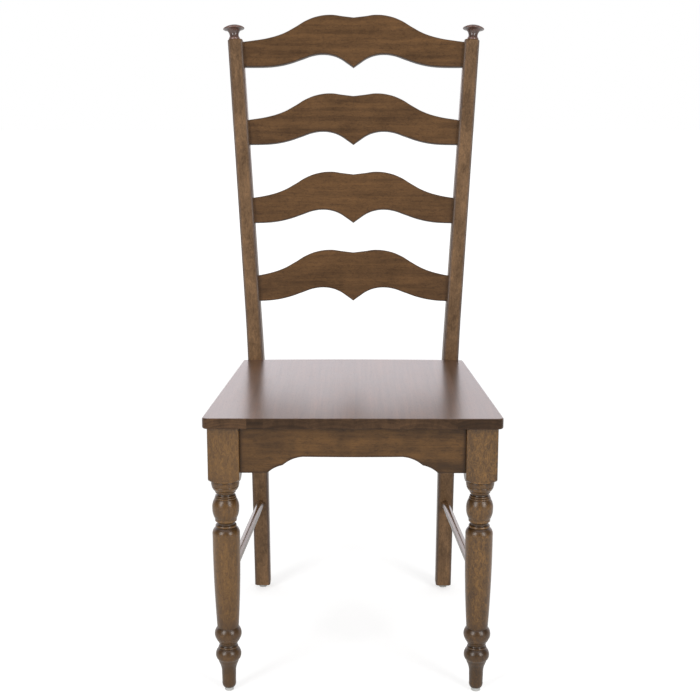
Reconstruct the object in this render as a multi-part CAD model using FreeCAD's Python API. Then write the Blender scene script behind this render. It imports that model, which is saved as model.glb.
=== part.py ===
"""Ladderback side chair: turned front legs, raked and splayed back posts with turned finials,
four scalloped slats and a flat wooden seat on a scalloped apron.

Millimetres. X runs to the right as seen from the front, Y runs to the back, Z is up.
While it is being built, the seat's front edge stands at Y = 0 and the floor lies at FLOOR_LEVEL.
At the end everything moves together, so that the origin is on the floor at the middle of the
footprint.
"""
import FreeCAD, Part
import math
import os

from FreeCAD import Placement, Rotation, Vector

FLOOR_LEVEL = -2.3

# Seat
SEAT_HEIGHT = 459.0
SEAT_THICKNESS = 17.0
SEAT_DEPTH = 432.0
SEAT_FRONT_WIDTH = 462.6
SEAT_REAR_WIDTH = 406.0
SEAT_REAR_BOW = 5.7
SEAT_FRONT_CORNER = 10.0
SEAT_REAR_CORNER = 5.0
SEAT_EASE = 2.2
FRAME_TOP = SEAT_HEIGHT - SEAT_THICKNESS

# Front legs: a square block at the top, turned below it
LEG_SPACING = 399.0
LEG_SETBACK = 34.5
LEG_BLOCK = 49.0
LEG_BLOCK_EASE = 2.0
FOOT_LEVEL = 4.0
# Turning, from the top down. Each entry is (radius, height) for a straight run,
# or (radius on the way, height on the way, radius, height) for an arc.
LEG_TURNING = [
    (36.0, FRAME_TOP),
    (36.0, 366.3),
    (32.5, 357.8, 23.4, 352.3),      # shoulder cut across the block's corners
    (21.6, 351.4),
    (22.1, 347.4, 21.6, 343.2),      # collar
    (20.8, 342.7),
    (21.3, 341.9),
    (20.2, 338.9, 16.9, 334.8),      # cup under the collar
    (16.2, 334.4),
    (16.1, 332.2),
    (13.5, 329.8, 14.5, 327.8),      # upper neck
    (16.0, 326.4, 15.5, 324.8),      # first ring
    (17.1, 323.3, 16.7, 321.9),      # second ring
    (17.3, 321.4),
    (20.35, 314.4, 21.05, 305.0),    # vase
    (20.1, 296.5, 17.7, 290.2),
    (17.3, 289.8),
    (17.0, 285.2),
    (13.7, 281.8, 13.9, 279.6),      # lower neck
    (16.7, 277.0, 15.9, 275.0),      # ring
    (16.5, 274.5),
    (20.5, 269.6, 21.6, 262.5),      # shoulder of the long taper
    (20.65, 184.0, 17.2, 107.6),     # long taper with a slight swell
    (16.9, 106.8),
    (21.5, 96.0, 20.2, 89.0),        # upper bead of the ankle
    (19.6, 88.5),
    (18.2, 85.0, 15.9, 82.0),        # cup under the bead
    (15.3, 81.5),
    (15.1, 79.5),
    (13.0, 77.3, 13.6, 75.0),        # ankle neck
    (15.7, 73.2, 15.0, 71.3),        # ankle ring
    (15.6, 70.8),
    (20.4, 60.8, 18.9, 53.6),        # lower bead of the ankle
    (17.4, 52.3),
    (16.6, 50.4),
    (15.3, 46.4),
    (12.9, 40.2, 11.5, 32.8),        # hollow above the foot
    (11.0, 12.0),
    (10.5, 6.4, 9.3, FOOT_LEVEL),
]

# Back posts: one piece from the floor to the finial, sawn to a bend in side view
# and splayed in front view
POST_TOP = 1040.0
POST_RAKE = 10.0
POST_FRONT_AT_SEAT = 430.0
POST_FRONT_AT_FLOOR = 455.0
POST_KNEE_HEIGHT = 440.0
POST_KNEE_DEPTH = 41.0
POST_FOOT_DEPTH = 29.0
POST_TOP_DEPTH = 27.0
POST_KNEE_TANGENT = 60.0
POST_OUTER_AT_FLOOR = 190.6
POST_OUTER_KNEE = (193.6, 448.0)
POST_OUTER_AT_TOP = 232.4
POST_INNER_AT_FLOOR = 161.4
POST_INNER_KNEE = (163.2, 400.0)
POST_INNER_AT_TOP = 205.1
POST_SPLAY_TANGENT = 100.0
POST_EASE = 3.0
POST_END_EASE = 1.6
POST_EXTRA = 40.0

# Finials, turned, on the post tops. Radius and height above the post's top.
FINIAL_TENON_RADIUS = 6.0
FINIAL_TENON_LENGTH = 15.0
FINIAL_OUTWARD = 2.0
FINIAL_TURNING = [
    (FINIAL_TENON_RADIUS, -FINIAL_TENON_LENGTH),
    (FINIAL_TENON_RADIUS, 0.0),
    (9.8, 0.0),
    (10.7, 2.6, 9.8, 5.2),           # bead
    (9.2, 5.6),
    (9.1, 12.6, 12.6, 18.3),         # hollow neck
    (15.4, 20.1, 18.8, 20.6),        # underside of the button
    (19.8, 21.7, 19.1, 22.9),        # rim
]
FINIAL_DOME_TOP = 28.6

# Ladder slats: cut to length, let into the posts. The top one is a little deeper than the rest.
SLAT_COUNT = 4
SLAT_THICKNESS = 14.0
SLAT_SETBACK = 8.0
SLAT_BOW = 12.0
SLAT_LOWEST_CREST = 205.4
SLAT_PITCH = 145.35
SLAT_TOP_EXTRA = 2.1
SLAT_HOUSING = 8.0
SLAT_EASE = 1.6
SLAT_TENON_THICKNESS = 8.0
SLAT_TENON_HEIGHT = 26.0
SLAT_TENON_REACH = 17.0
SLAT_TENON_DROP = 79.0
# Right half of the outline, from the middle out, measured from the crest
SLAT_TOP_EDGE = [
    (0.0, -5.0), (21.0, -2.5), (42.0, 0.0), (66.0, -2.8), (88.0, -10.9), (108.0, -23.0),
    (132.0, -35.9), (158.0, -44.3), (186.0, -49.6), (222.0, -54.8),
]
SLAT_LOWER_EDGE = [
    (0.0, -94.8), (12.0, -86.2), (26.0, -77.2), (40.0, -72.1), (56.0, -70.2), (74.0, -72.3),
    (96.0, -79.8), (120.0, -88.1), (144.0, -93.4), (168.0, -95.6), (222.0, -96.4),
]

# Aprons
APRON_THICKNESS = 20.0
APRON_BOTTOM = 367.3
FRONT_APRON_SETBACK = 8.0
# Scallop, right half from the end to the middle: arcs as in the turning, (x, height)
SCALLOP_START = (132.3, APRON_BOTTOM)
SCALLOP = [
    (122.5, 374.6, 108.6, 379.7),
    (95.4, 388.4, 77.0, 393.2),
]
SCALLOP_MIDDLE = 392.7
SIDE_APRON_FRONT_OUTER = 218.0
SIDE_APRON_REAR_OUTER = 190.5
REAR_APRON_FRONT = 432.0
APRON_SPARE = 9.0

# Side stretchers
STRETCHER_RADIUS = 7.3
STRETCHER_TENON_RADIUS = 5.5
STRETCHER_TENON_REACH = 14.0
STRETCHER_TENON_ROOT = 10.0
STRETCHER_SHOULDER = 20.6
STRETCHER_FRONT_HEIGHT = 184.0
STRETCHER_REAR_HEIGHT = 175.0
STRETCHER_REAR_X = 176.6

# Dowels of the apron joints
DOWEL_RADIUS = 4.0
DOWEL_REACH = 18.0
SIDE_DOWEL_BEHIND = 3.0
REAR_DOWEL_BEYOND = 1.0
FRONT_DOWEL_HEIGHTS = (386.0, 426.0)
SIDE_DOWEL_HEIGHTS = (378.0, 434.0)
REAR_DOWEL_HEIGHTS = (391.0, 421.0)

# Corner blocks and their screws
BLOCK_HEIGHT = 38.0
BLOCK_WIDTH = 28.0
REAR_BLOCK_CORNER = (161.2, 426.0)
SCREW_RADIUS = 2.0
SCREW_TIP_RADIUS = 0.4
SCREW_POINT = 4.0
SCREW_HEAD_RADIUS = 4.0
SCREW_HEAD_HEIGHT = 2.6
SCREW_WAY_RADIUS = 4.5
SCREW_LENGTH = 32.0
SCREW_SPREAD = 15.4
SCREW_BITE = 13.0
SEAT_SCREW_BITE = 11.0

# Glides under the feet
GLIDE_RADIUS = 7.3
GLIDE_EASE = 0.8
NAIL_RADIUS = 1.3
NAIL_HEAD_RADIUS = 2.8
NAIL_HEAD_HEIGHT = 1.0
NAIL_LENGTH = 18.0

RAKE = math.radians(POST_RAKE)
UP_THE_BACK = Vector(0, math.sin(RAKE), math.cos(RAKE))
BEHIND_THE_BACK = Vector(0, math.cos(RAKE), -math.sin(RAKE))
BACK_ORIGIN = Vector(0, POST_FRONT_AT_SEAT, SEAT_HEIGHT)
MIRROR_PLANE = Vector(1, 0, 0)
LEVEL = 0.01      # an edge whose ends differ less than this in height counts as level


def mirrored(shape):
    """The same piece for the left side."""
    return shape.mirror(Vector(0, 0, 0), MIRROR_PLANE)


def both_sides(shape):
    return [mirrored(shape), shape]


def biggest(shape):
    """The one solid that matters where a cut leaves crumbs."""
    return max(shape.Solids, key=lambda solid: solid.Volume)


def path_edges(start, steps):
    """Edges through straight runs and arcs, given in the XZ plane."""
    edges = []
    here = Vector(start[0], 0, start[1])
    for step in steps:
        end = Vector(step[-2], 0, step[-1])
        if len(step) == 2:
            edges.append(Part.LineSegment(here, end).toShape())
        else:
            edges.append(Part.Arc(here, Vector(step[0], 0, step[1]), end).toShape())
        here = end
    return edges


def turned(steps):
    """A lathe-turned solid about Z from its outline."""
    start = (0.0, steps[0][-1])
    end = (0.0, steps[-1][-1])
    closing = [] if steps[-1][-2] == 0.0 else [end]
    edges = path_edges(start, steps + closing)
    last = (steps + closing)[-1]
    edges.append(Part.LineSegment(Vector(0, 0, last[-1]), Vector(0, 0, start[1])).toShape())
    face = Part.Face(Part.Wire(edges))
    return face.revolve(Vector(0, 0, 0), Vector(0, 0, 1), 360)


def prism(points, sweep):
    """A closed polygon pushed along a vector."""
    return Part.Face(Part.makePolygon(points + points[:1])).extrude(sweep)


def bent_line(low, knee, high, tangent):
    """Two straight lines that meet at a knee, joined by an arc with equal tangents."""
    toward_low = (low - knee).normalize()
    toward_high = (high - knee).normalize()
    before = knee + toward_low * tangent
    after = knee + toward_high * tangent
    half = toward_low.getAngle(toward_high) / 2
    radius = tangent * math.tan(half)
    bisector = (toward_low + toward_high).normalize()
    middle = knee + bisector * (radius / math.sin(half) - radius)
    return [
        Part.LineSegment(low, before).toShape(),
        Part.Arc(before, middle, after).toShape(),
        Part.LineSegment(after, high).toShape(),
    ]


def along_axis(point, direction):
    """Placement that turns Z to a direction and moves the origin to a point."""
    return Placement(point, Rotation(Vector(0, 0, 1), direction))


def rod(start, end, radius):
    return Part.makeCylinder(radius, (end - start).Length, start, end - start)


def back_point(x, up, behind):
    """A point on the raked back: across, up the rake and behind the posts' front faces."""
    return BACK_ORIGIN + Vector(x, 0, 0) + UP_THE_BACK * up + BEHIND_THE_BACK * behind


def post_front_y(height):
    return POST_FRONT_AT_SEAT + math.tan(RAKE) * (height - SEAT_HEIGHT)


def extended(low, high, extra):
    """The end of a line, carried on by a little."""
    return high + (high - low).normalize() * extra


def post_side_profile():
    front_foot = Vector(0, POST_FRONT_AT_FLOOR, FOOT_LEVEL)
    front_knee = Vector(0, post_front_y(POST_KNEE_HEIGHT), POST_KNEE_HEIGHT)
    front_top = Vector(0, post_front_y(POST_TOP), POST_TOP)
    back_foot = front_foot + Vector(0, POST_FOOT_DEPTH, 0)
    back_knee = front_knee + Vector(0, POST_KNEE_DEPTH, 0)
    back_top = front_top + Vector(0, POST_TOP_DEPTH, 0)
    front_end = extended(front_knee, front_top, POST_EXTRA)
    back_end = extended(back_knee, back_top, POST_EXTRA)
    edges = bent_line(front_foot, front_knee, front_end, POST_KNEE_TANGENT)
    edges.append(Part.LineSegment(front_end, back_end).toShape())
    edges += bent_line(back_foot, back_knee, back_end, POST_KNEE_TANGENT)
    edges.append(Part.LineSegment(back_foot, front_foot).toShape())
    return Part.Face(Part.Wire(Part.__sortEdges__(edges)))


def post_front_profile():
    outer_foot = Vector(POST_OUTER_AT_FLOOR, 0, FOOT_LEVEL)
    outer_knee = Vector(POST_OUTER_KNEE[0], 0, POST_OUTER_KNEE[1])
    outer_top = Vector(POST_OUTER_AT_TOP, 0, POST_TOP)
    inner_foot = Vector(POST_INNER_AT_FLOOR, 0, FOOT_LEVEL)
    inner_knee = Vector(POST_INNER_KNEE[0], 0, POST_INNER_KNEE[1])
    inner_top = Vector(POST_INNER_AT_TOP, 0, POST_TOP)
    outer_end = extended(outer_knee, outer_top, POST_EXTRA)
    inner_end = extended(inner_knee, inner_top, POST_EXTRA)
    edges = bent_line(outer_foot, outer_knee, outer_end, POST_SPLAY_TANGENT)
    edges.append(Part.LineSegment(outer_end, inner_end).toShape())
    edges += bent_line(inner_foot, inner_knee, inner_end, POST_SPLAY_TANGENT)
    edges.append(Part.LineSegment(inner_foot, outer_foot).toShape())
    return Part.Face(Part.Wire(Part.__sortEdges__(edges)))


def post_axis():
    """The middle of the post's top and the direction it points."""
    across = (POST_OUTER_AT_TOP + POST_INNER_AT_TOP) / 2
    top = Vector(across, post_front_y(POST_TOP) + POST_TOP_DEPTH / 2, POST_TOP)
    splay = (POST_OUTER_AT_TOP - POST_OUTER_KNEE[0]) / (POST_TOP - POST_OUTER_KNEE[1])
    return top, Vector(splay, math.tan(RAKE), 1).normalize()


def post_blank():
    """The right post before its joints are cut."""
    width = 2 * POST_OUTER_AT_TOP
    side = post_side_profile().extrude(Vector(width, 0, 0))
    front = post_front_profile().extrude(Vector(0, 2 * SEAT_DEPTH, 0))
    post = biggest(side.common(front))
    long_edges = [edge for edge in post.Edges if edge.BoundBox.ZLength > POST_KNEE_TANGENT / 2]
    post = post.makeFillet(POST_EASE, long_edges)
    top, direction = post_axis()
    cutter = Part.makeBox(width, width, width, Vector(-width / 2, -width / 2, 0))
    cutter.Placement = along_axis(top, direction)
    post = biggest(post.cut(cutter))
    ends = [edge for edge in post.Edges if edge.BoundBox.ZLength < POST_TOP_DEPTH / 2]
    return post.makeChamfer(POST_END_EASE, ends)


def dome(radius, low, high):
    """The arc from a rim to the crown of a dome, for a turning."""
    ball = (radius ** 2 + (high - low) ** 2) / (2 * (high - low))
    half = math.asin(radius / ball) / 2
    return ball * math.sin(half), high - ball * (1 - math.cos(half)), 0.0, high


def finial():
    top, direction = post_axis()
    outward = direction.cross(Vector(0, -1, 0)).normalize()
    shape = turned(FINIAL_TURNING + [dome(*FINIAL_TURNING[-1][-2:], FINIAL_DOME_TOP)])
    shape.Placement = along_axis(top + outward * FINIAL_OUTWARD, direction)
    return shape


def leg_blank():
    """The right front leg before its joints are cut."""
    half = LEG_BLOCK / 2
    corner = Vector(LEG_SPACING / 2 - half, LEG_SETBACK - half, FOOT_LEVEL)
    block = Part.makeBox(LEG_BLOCK, LEG_BLOCK, FRAME_TOP - FOOT_LEVEL, corner)
    upright = [edge for edge in block.Edges if edge.BoundBox.ZLength > LEG_BLOCK]
    block = block.makeFillet(LEG_BLOCK_EASE, upright)
    turning = turned(LEG_TURNING)
    turning.translate(Vector(LEG_SPACING / 2, LEG_SETBACK, 0))
    return biggest(turning.common(block))


def seat_blank():
    half_front = SEAT_FRONT_WIDTH / 2
    half_rear = SEAT_REAR_WIDTH / 2
    front_left = Vector(-half_front, 0, FRAME_TOP)
    front_right = Vector(half_front, 0, FRAME_TOP)
    rear_right = Vector(half_rear, SEAT_DEPTH, FRAME_TOP)
    rear_left = Vector(-half_rear, SEAT_DEPTH, FRAME_TOP)
    rear_middle = Vector(0, SEAT_DEPTH + SEAT_REAR_BOW, FRAME_TOP)
    edges = [
        Part.LineSegment(front_left, front_right).toShape(),
        Part.LineSegment(front_right, rear_right).toShape(),
        Part.Arc(rear_right, rear_middle, rear_left).toShape(),
        Part.LineSegment(rear_left, front_left).toShape(),
    ]
    panel = Part.Face(Part.Wire(edges)).extrude(Vector(0, 0, SEAT_THICKNESS))
    upright = [edge for edge in panel.Edges if edge.BoundBox.ZLength > SEAT_THICKNESS / 2]
    front = [edge for edge in upright if edge.CenterOfMass.y < SEAT_DEPTH / 2]
    panel = panel.makeFillet(SEAT_FRONT_CORNER, front)
    rear = [edge for edge in panel.Edges if edge.BoundBox.ZLength > SEAT_THICKNESS / 2
            and edge.CenterOfMass.y > SEAT_DEPTH / 2]
    panel = panel.makeFillet(SEAT_REAR_CORNER, rear)
    rims = [edge for edge in panel.Edges if edge.BoundBox.ZLength < LEVEL]
    return panel.makeFillet(SEAT_EASE, rims)


def spline_edge(points):
    curve = Part.BSplineCurve()
    curve.interpolate(points)
    return curve.toShape()


def slat_outline(crest, half_length, extra):
    """The scalloped outline on the plane of the posts' front faces."""
    lower_edge = [(x, up - extra) for x, up in SLAT_LOWER_EDGE]

    def placed(points, side):
        return [back_point(side * x, crest + up, 0) for x, up in points]

    left_top = placed(SLAT_TOP_EDGE[1:], -1)[::-1]
    top = spline_edge(left_top + placed(SLAT_TOP_EDGE, 1))
    lower_right = spline_edge(placed(lower_edge, 1))
    lower_left = spline_edge(placed(lower_edge, -1))
    ends = []
    for side in (-1, 1):
        high = placed(SLAT_TOP_EDGE[-1:], side)[0]
        low = placed(lower_edge[-1:], side)[0]
        ends.append(Part.LineSegment(high, low).toShape())
    wire = Part.Wire(Part.__sortEdges__([top, lower_right, lower_left] + ends))
    limit_low = back_point(-half_length, crest - SLAT_PITCH, 0)
    limit = Part.Face(Part.makePolygon([
        limit_low,
        back_point(half_length, crest - SLAT_PITCH, 0),
        back_point(half_length, crest + SLAT_PITCH, 0),
        back_point(-half_length, crest + SLAT_PITCH, 0),
        limit_low,
    ]))
    return Part.Face(wire).common(limit).Faces[0]


def bowed_slab(crest, half_length):
    """A slab bent back in the middle, as thick as a slat."""
    def arc(behind):
        return Part.Arc(
            back_point(-half_length, crest - SLAT_PITCH, behind),
            back_point(0, crest - SLAT_PITCH, behind + SLAT_BOW),
            back_point(half_length, crest - SLAT_PITCH, behind),
        ).toShape()
    front = arc(SLAT_SETBACK)
    back = arc(SLAT_SETBACK + SLAT_THICKNESS)
    ends = [
        Part.LineSegment(front.Vertexes[i].Point, back.Vertexes[i].Point).toShape()
        for i in (0, 1)
    ]
    face = Part.Face(Part.Wire(Part.__sortEdges__([front, back] + ends)))
    return face.extrude(UP_THE_BACK * (2 * SLAT_PITCH))


def post_inner_x(height):
    run = (POST_INNER_AT_TOP - POST_INNER_KNEE[0]) / (POST_TOP - POST_INNER_KNEE[1])
    return POST_INNER_KNEE[0] + run * (height - POST_INNER_KNEE[1])


def slat_tenon(crest):
    """The right tenon, a flat tongue in the middle of the slat's thickness."""
    middle_up = crest - SLAT_TENON_DROP
    inner = post_inner_x(back_point(0, middle_up, 0).z)
    behind = SLAT_SETBACK + (SLAT_THICKNESS - SLAT_TENON_THICKNESS) / 2
    low = middle_up - SLAT_TENON_HEIGHT / 2
    start = inner - SLAT_HOUSING
    reach = inner + SLAT_TENON_REACH
    corners = [
        back_point(start, low, behind),
        back_point(reach, low, behind),
        back_point(reach, low + SLAT_TENON_HEIGHT, behind),
        back_point(start, low + SLAT_TENON_HEIGHT, behind),
    ]
    return prism(corners, BEHIND_THE_BACK * SLAT_TENON_THICKNESS)


def slat(index, posts):
    """One slat: bowed, scalloped, shouldered against the posts, with a tenon at each end."""
    crest = SLAT_LOWEST_CREST + SLAT_PITCH * index
    inner = post_inner_x(back_point(0, crest - SLAT_TENON_DROP, 0).z)
    half_length = inner + SLAT_HOUSING
    extra = SLAT_TOP_EXTRA if index == SLAT_COUNT - 1 else 0.0
    blank = slat_outline(crest, half_length, extra).extrude(BEHIND_THE_BACK * SLAT_PITCH)
    body = biggest(blank.common(bowed_slab(crest, half_length)))
    long_edges = [edge for edge in body.Edges if edge.BoundBox.XLength > inner / 2]
    body = body.makeFillet(SLAT_EASE, long_edges)
    for post in posts:
        body = biggest(body.cut(post))
    tenon = slat_tenon(crest)
    return body.fuse([tenon, mirrored(tenon)]).removeSplitter().Solids[0], tenon


def front_apron_blank():
    front = LEG_SETBACK - LEG_BLOCK / 2 + FRONT_APRON_SETBACK
    end = LEG_SPACING / 2 - LEG_BLOCK / 2

    def half(side):
        steps = [(SCALLOP_START[0] * side, SCALLOP_START[1])]
        steps += [(x1 * side, z1, x2 * side, z2) for x1, z1, x2, z2 in SCALLOP]
        return path_edges((end * side, APRON_BOTTOM), steps)

    flat = SCALLOP[-1][-2:]
    middle = Part.Arc(
        Vector(-flat[0], 0, flat[1]), Vector(0, 0, SCALLOP_MIDDLE), Vector(flat[0], 0, flat[1])
    ).toShape()
    rest = path_edges(
        (-end, APRON_BOTTOM), [(-end, FRAME_TOP), (end, FRAME_TOP), (end, APRON_BOTTOM)]
    )
    wire = Part.Wire(Part.__sortEdges__(half(-1) + half(1) + [middle] + rest))
    wire.translate(Vector(0, front, 0))
    return Part.Face(wire).extrude(Vector(0, APRON_THICKNESS, 0))


def side_apron_line():
    """The outer face of the right side apron in plan: its front end and its direction."""
    start = Vector(SIDE_APRON_FRONT_OUTER, LEG_SETBACK + LEG_BLOCK / 2, 0)
    end = Vector(SIDE_APRON_REAR_OUTER, POST_FRONT_AT_SEAT, 0)
    return start, (end - start).normalize()


def side_apron_blank(post):
    start, direction = side_apron_line()
    inward = Vector(-direction.y, direction.x, 0)
    back = SEAT_DEPTH + POST_KNEE_DEPTH / 2
    corners = []
    for offset, y in ((0, start.y), (0, back), (1, back), (1, start.y)):
        base = start + inward * (APRON_THICKNESS * offset)
        corners.append(base + direction * ((y - base.y) / direction.y) + Vector(0, 0, APRON_BOTTOM))
    board = prism(corners, Vector(0, 0, FRAME_TOP - APRON_BOTTOM))
    return biggest(board.cut(post))


def rear_apron_blank(posts):
    half = POST_INNER_KNEE[0] + APRON_SPARE
    board = Part.makeBox(
        2 * half, APRON_THICKNESS, FRAME_TOP - APRON_BOTTOM,
        Vector(-half, REAR_APRON_FRONT, APRON_BOTTOM),
    )
    for post in posts:
        board = biggest(board.cut(post))
    return board


def stretcher_ends():
    front = Vector(LEG_SPACING / 2, LEG_SETBACK, STRETCHER_FRONT_HEIGHT)
    share = STRETCHER_REAR_HEIGHT / POST_KNEE_HEIGHT
    front_face = POST_FRONT_AT_FLOOR + (post_front_y(POST_KNEE_HEIGHT) - POST_FRONT_AT_FLOOR) * share
    rear = Vector(STRETCHER_REAR_X, front_face, STRETCHER_REAR_HEIGHT)
    return front, rear


def stretcher(leg, post):
    """Right side stretcher: a round rod, coped to the turned leg, with round tenons."""
    front, rear = stretcher_ends()
    direction = (rear - front).normalize()
    body = rod(front, rear + direction * STRETCHER_TENON_REACH, STRETCHER_RADIUS)
    body = biggest(body.cut(leg))
    body = biggest(body.cut(post))
    leg_surface = front + direction * STRETCHER_SHOULDER
    reach = direction * STRETCHER_TENON_REACH
    root = direction * STRETCHER_TENON_ROOT
    tenons = [
        rod(leg_surface - reach, leg_surface + root, STRETCHER_TENON_RADIUS),
        rod(rear - root, rear + reach, STRETCHER_TENON_RADIUS),
    ]
    return body.fuse(tenons).removeSplitter().Solids[0], tenons


def dowel(point, direction):
    """A short dowel, half on each side of the joint."""
    return rod(point - direction * DOWEL_REACH, point + direction * DOWEL_REACH, DOWEL_RADIUS)


def right_dowels():
    across = Vector(1, 0, 0)
    front_end = LEG_SPACING / 2 - LEG_BLOCK / 2
    front_y = LEG_SETBACK - LEG_BLOCK / 2 + FRONT_APRON_SETBACK + APRON_THICKNESS / 2
    dowels = [dowel(Vector(front_end, front_y, z), across) for z in FRONT_DOWEL_HEIGHTS]
    start, direction = side_apron_line()
    inward = Vector(-direction.y, direction.x, 0)
    middle = start + inward * (APRON_THICKNESS / 2)
    run = (post_front_y(POST_KNEE_HEIGHT) + SIDE_DOWEL_BEHIND - middle.y) / direction.y
    for z in SIDE_DOWEL_HEIGHTS:
        lift = Vector(0, 0, z)
        dowels.append(dowel(middle + lift, direction))
        dowels.append(dowel(middle + direction * run + lift, direction))
    rear_y = REAR_APRON_FRONT + APRON_THICKNESS / 2
    for z in REAR_DOWEL_HEIGHTS:
        dowels.append(dowel(Vector(POST_INNER_KNEE[0] + REAR_DOWEL_BEYOND, rear_y, z), across))
    return dowels


def corner_plan():
    """Inner faces of the frame in plan: front apron, side apron line and rear apron."""
    start, direction = side_apron_line()
    inward = Vector(-direction.y, direction.x, 0)
    inner_start = start + inward * APRON_THICKNESS
    front_inner = LEG_SETBACK - LEG_BLOCK / 2 + FRONT_APRON_SETBACK + APRON_THICKNESS
    return inner_start, direction, front_inner


def side_inner_x(y):
    inner_start, direction, _ = corner_plan()
    return inner_start.x + direction.x * (y - inner_start.y) / direction.y


def corner_block(end_y, sense, corner):
    """A diagonal bar from the front or rear apron to the side apron.

    sense is 1 at the front, where the bar runs back, and -1 at the rear. corner is the point
    in plan that its outer face passes through.
    """
    base = FRAME_TOP - BLOCK_HEIGHT
    outer = corner.x - sense * corner.y
    inner = outer - BLOCK_WIDTH * math.sqrt(2)
    slope = side_inner_x(1) - side_inner_x(0)

    def on_apron(line):
        return Vector(line + sense * end_y, end_y, base)

    def on_side(line):
        y = (side_inner_x(0) - line) / (sense - slope)
        return Vector(side_inner_x(y), y, base)

    points = [on_apron(inner), on_apron(outer), on_side(outer), on_side(inner)]
    return prism(points, Vector(0, 0, BLOCK_HEIGHT))


def screw(tip, direction):
    """A countersunk wood screw, from its tip towards its head."""
    head_start = SCREW_LENGTH - SCREW_HEAD_HEIGHT
    shank = turned([
        (SCREW_TIP_RADIUS, 0.0),
        (SCREW_RADIUS, SCREW_POINT),
        (SCREW_RADIUS, head_start),
        (SCREW_HEAD_RADIUS, SCREW_LENGTH),
    ])
    shank.Placement = along_axis(tip, direction)
    return shank


def screw_way(tip, direction):
    """The pocket that lets a screw's head pass into a corner block."""
    head = tip + direction * SCREW_LENGTH
    return rod(head, head + direction * (2 * BLOCK_WIDTH), SCREW_WAY_RADIUS)


def glide(x, y):
    disc = Part.makeCylinder(GLIDE_RADIUS, FOOT_LEVEL - FLOOR_LEVEL, Vector(x, y, FLOOR_LEVEL))
    rim = [edge for edge in disc.Edges if edge.BoundBox.ZMax < FLOOR_LEVEL + LEVEL]
    return disc.makeFillet(GLIDE_EASE, rim)


def glide_nail(x, y):
    start = Vector(x, y, FLOOR_LEVEL + NAIL_HEAD_HEIGHT)
    head = Part.makeCylinder(NAIL_HEAD_RADIUS, NAIL_HEAD_HEIGHT, start)
    shank = Part.makeCylinder(NAIL_RADIUS, NAIL_LENGTH, start)
    return head.fuse(shank).removeSplitter().Solids[0]


def glide_well(x, y):
    """The opening under a glide through which its nail is driven."""
    return Part.makeCylinder(NAIL_HEAD_RADIUS, NAIL_HEAD_HEIGHT, Vector(x, y, FLOOR_LEVEL))


def cut_all(shape, tools):
    for tool in tools:
        if shape.BoundBox.intersect(tool.BoundBox):
            shape = biggest(shape.cut(tool))
    return shape


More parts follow.
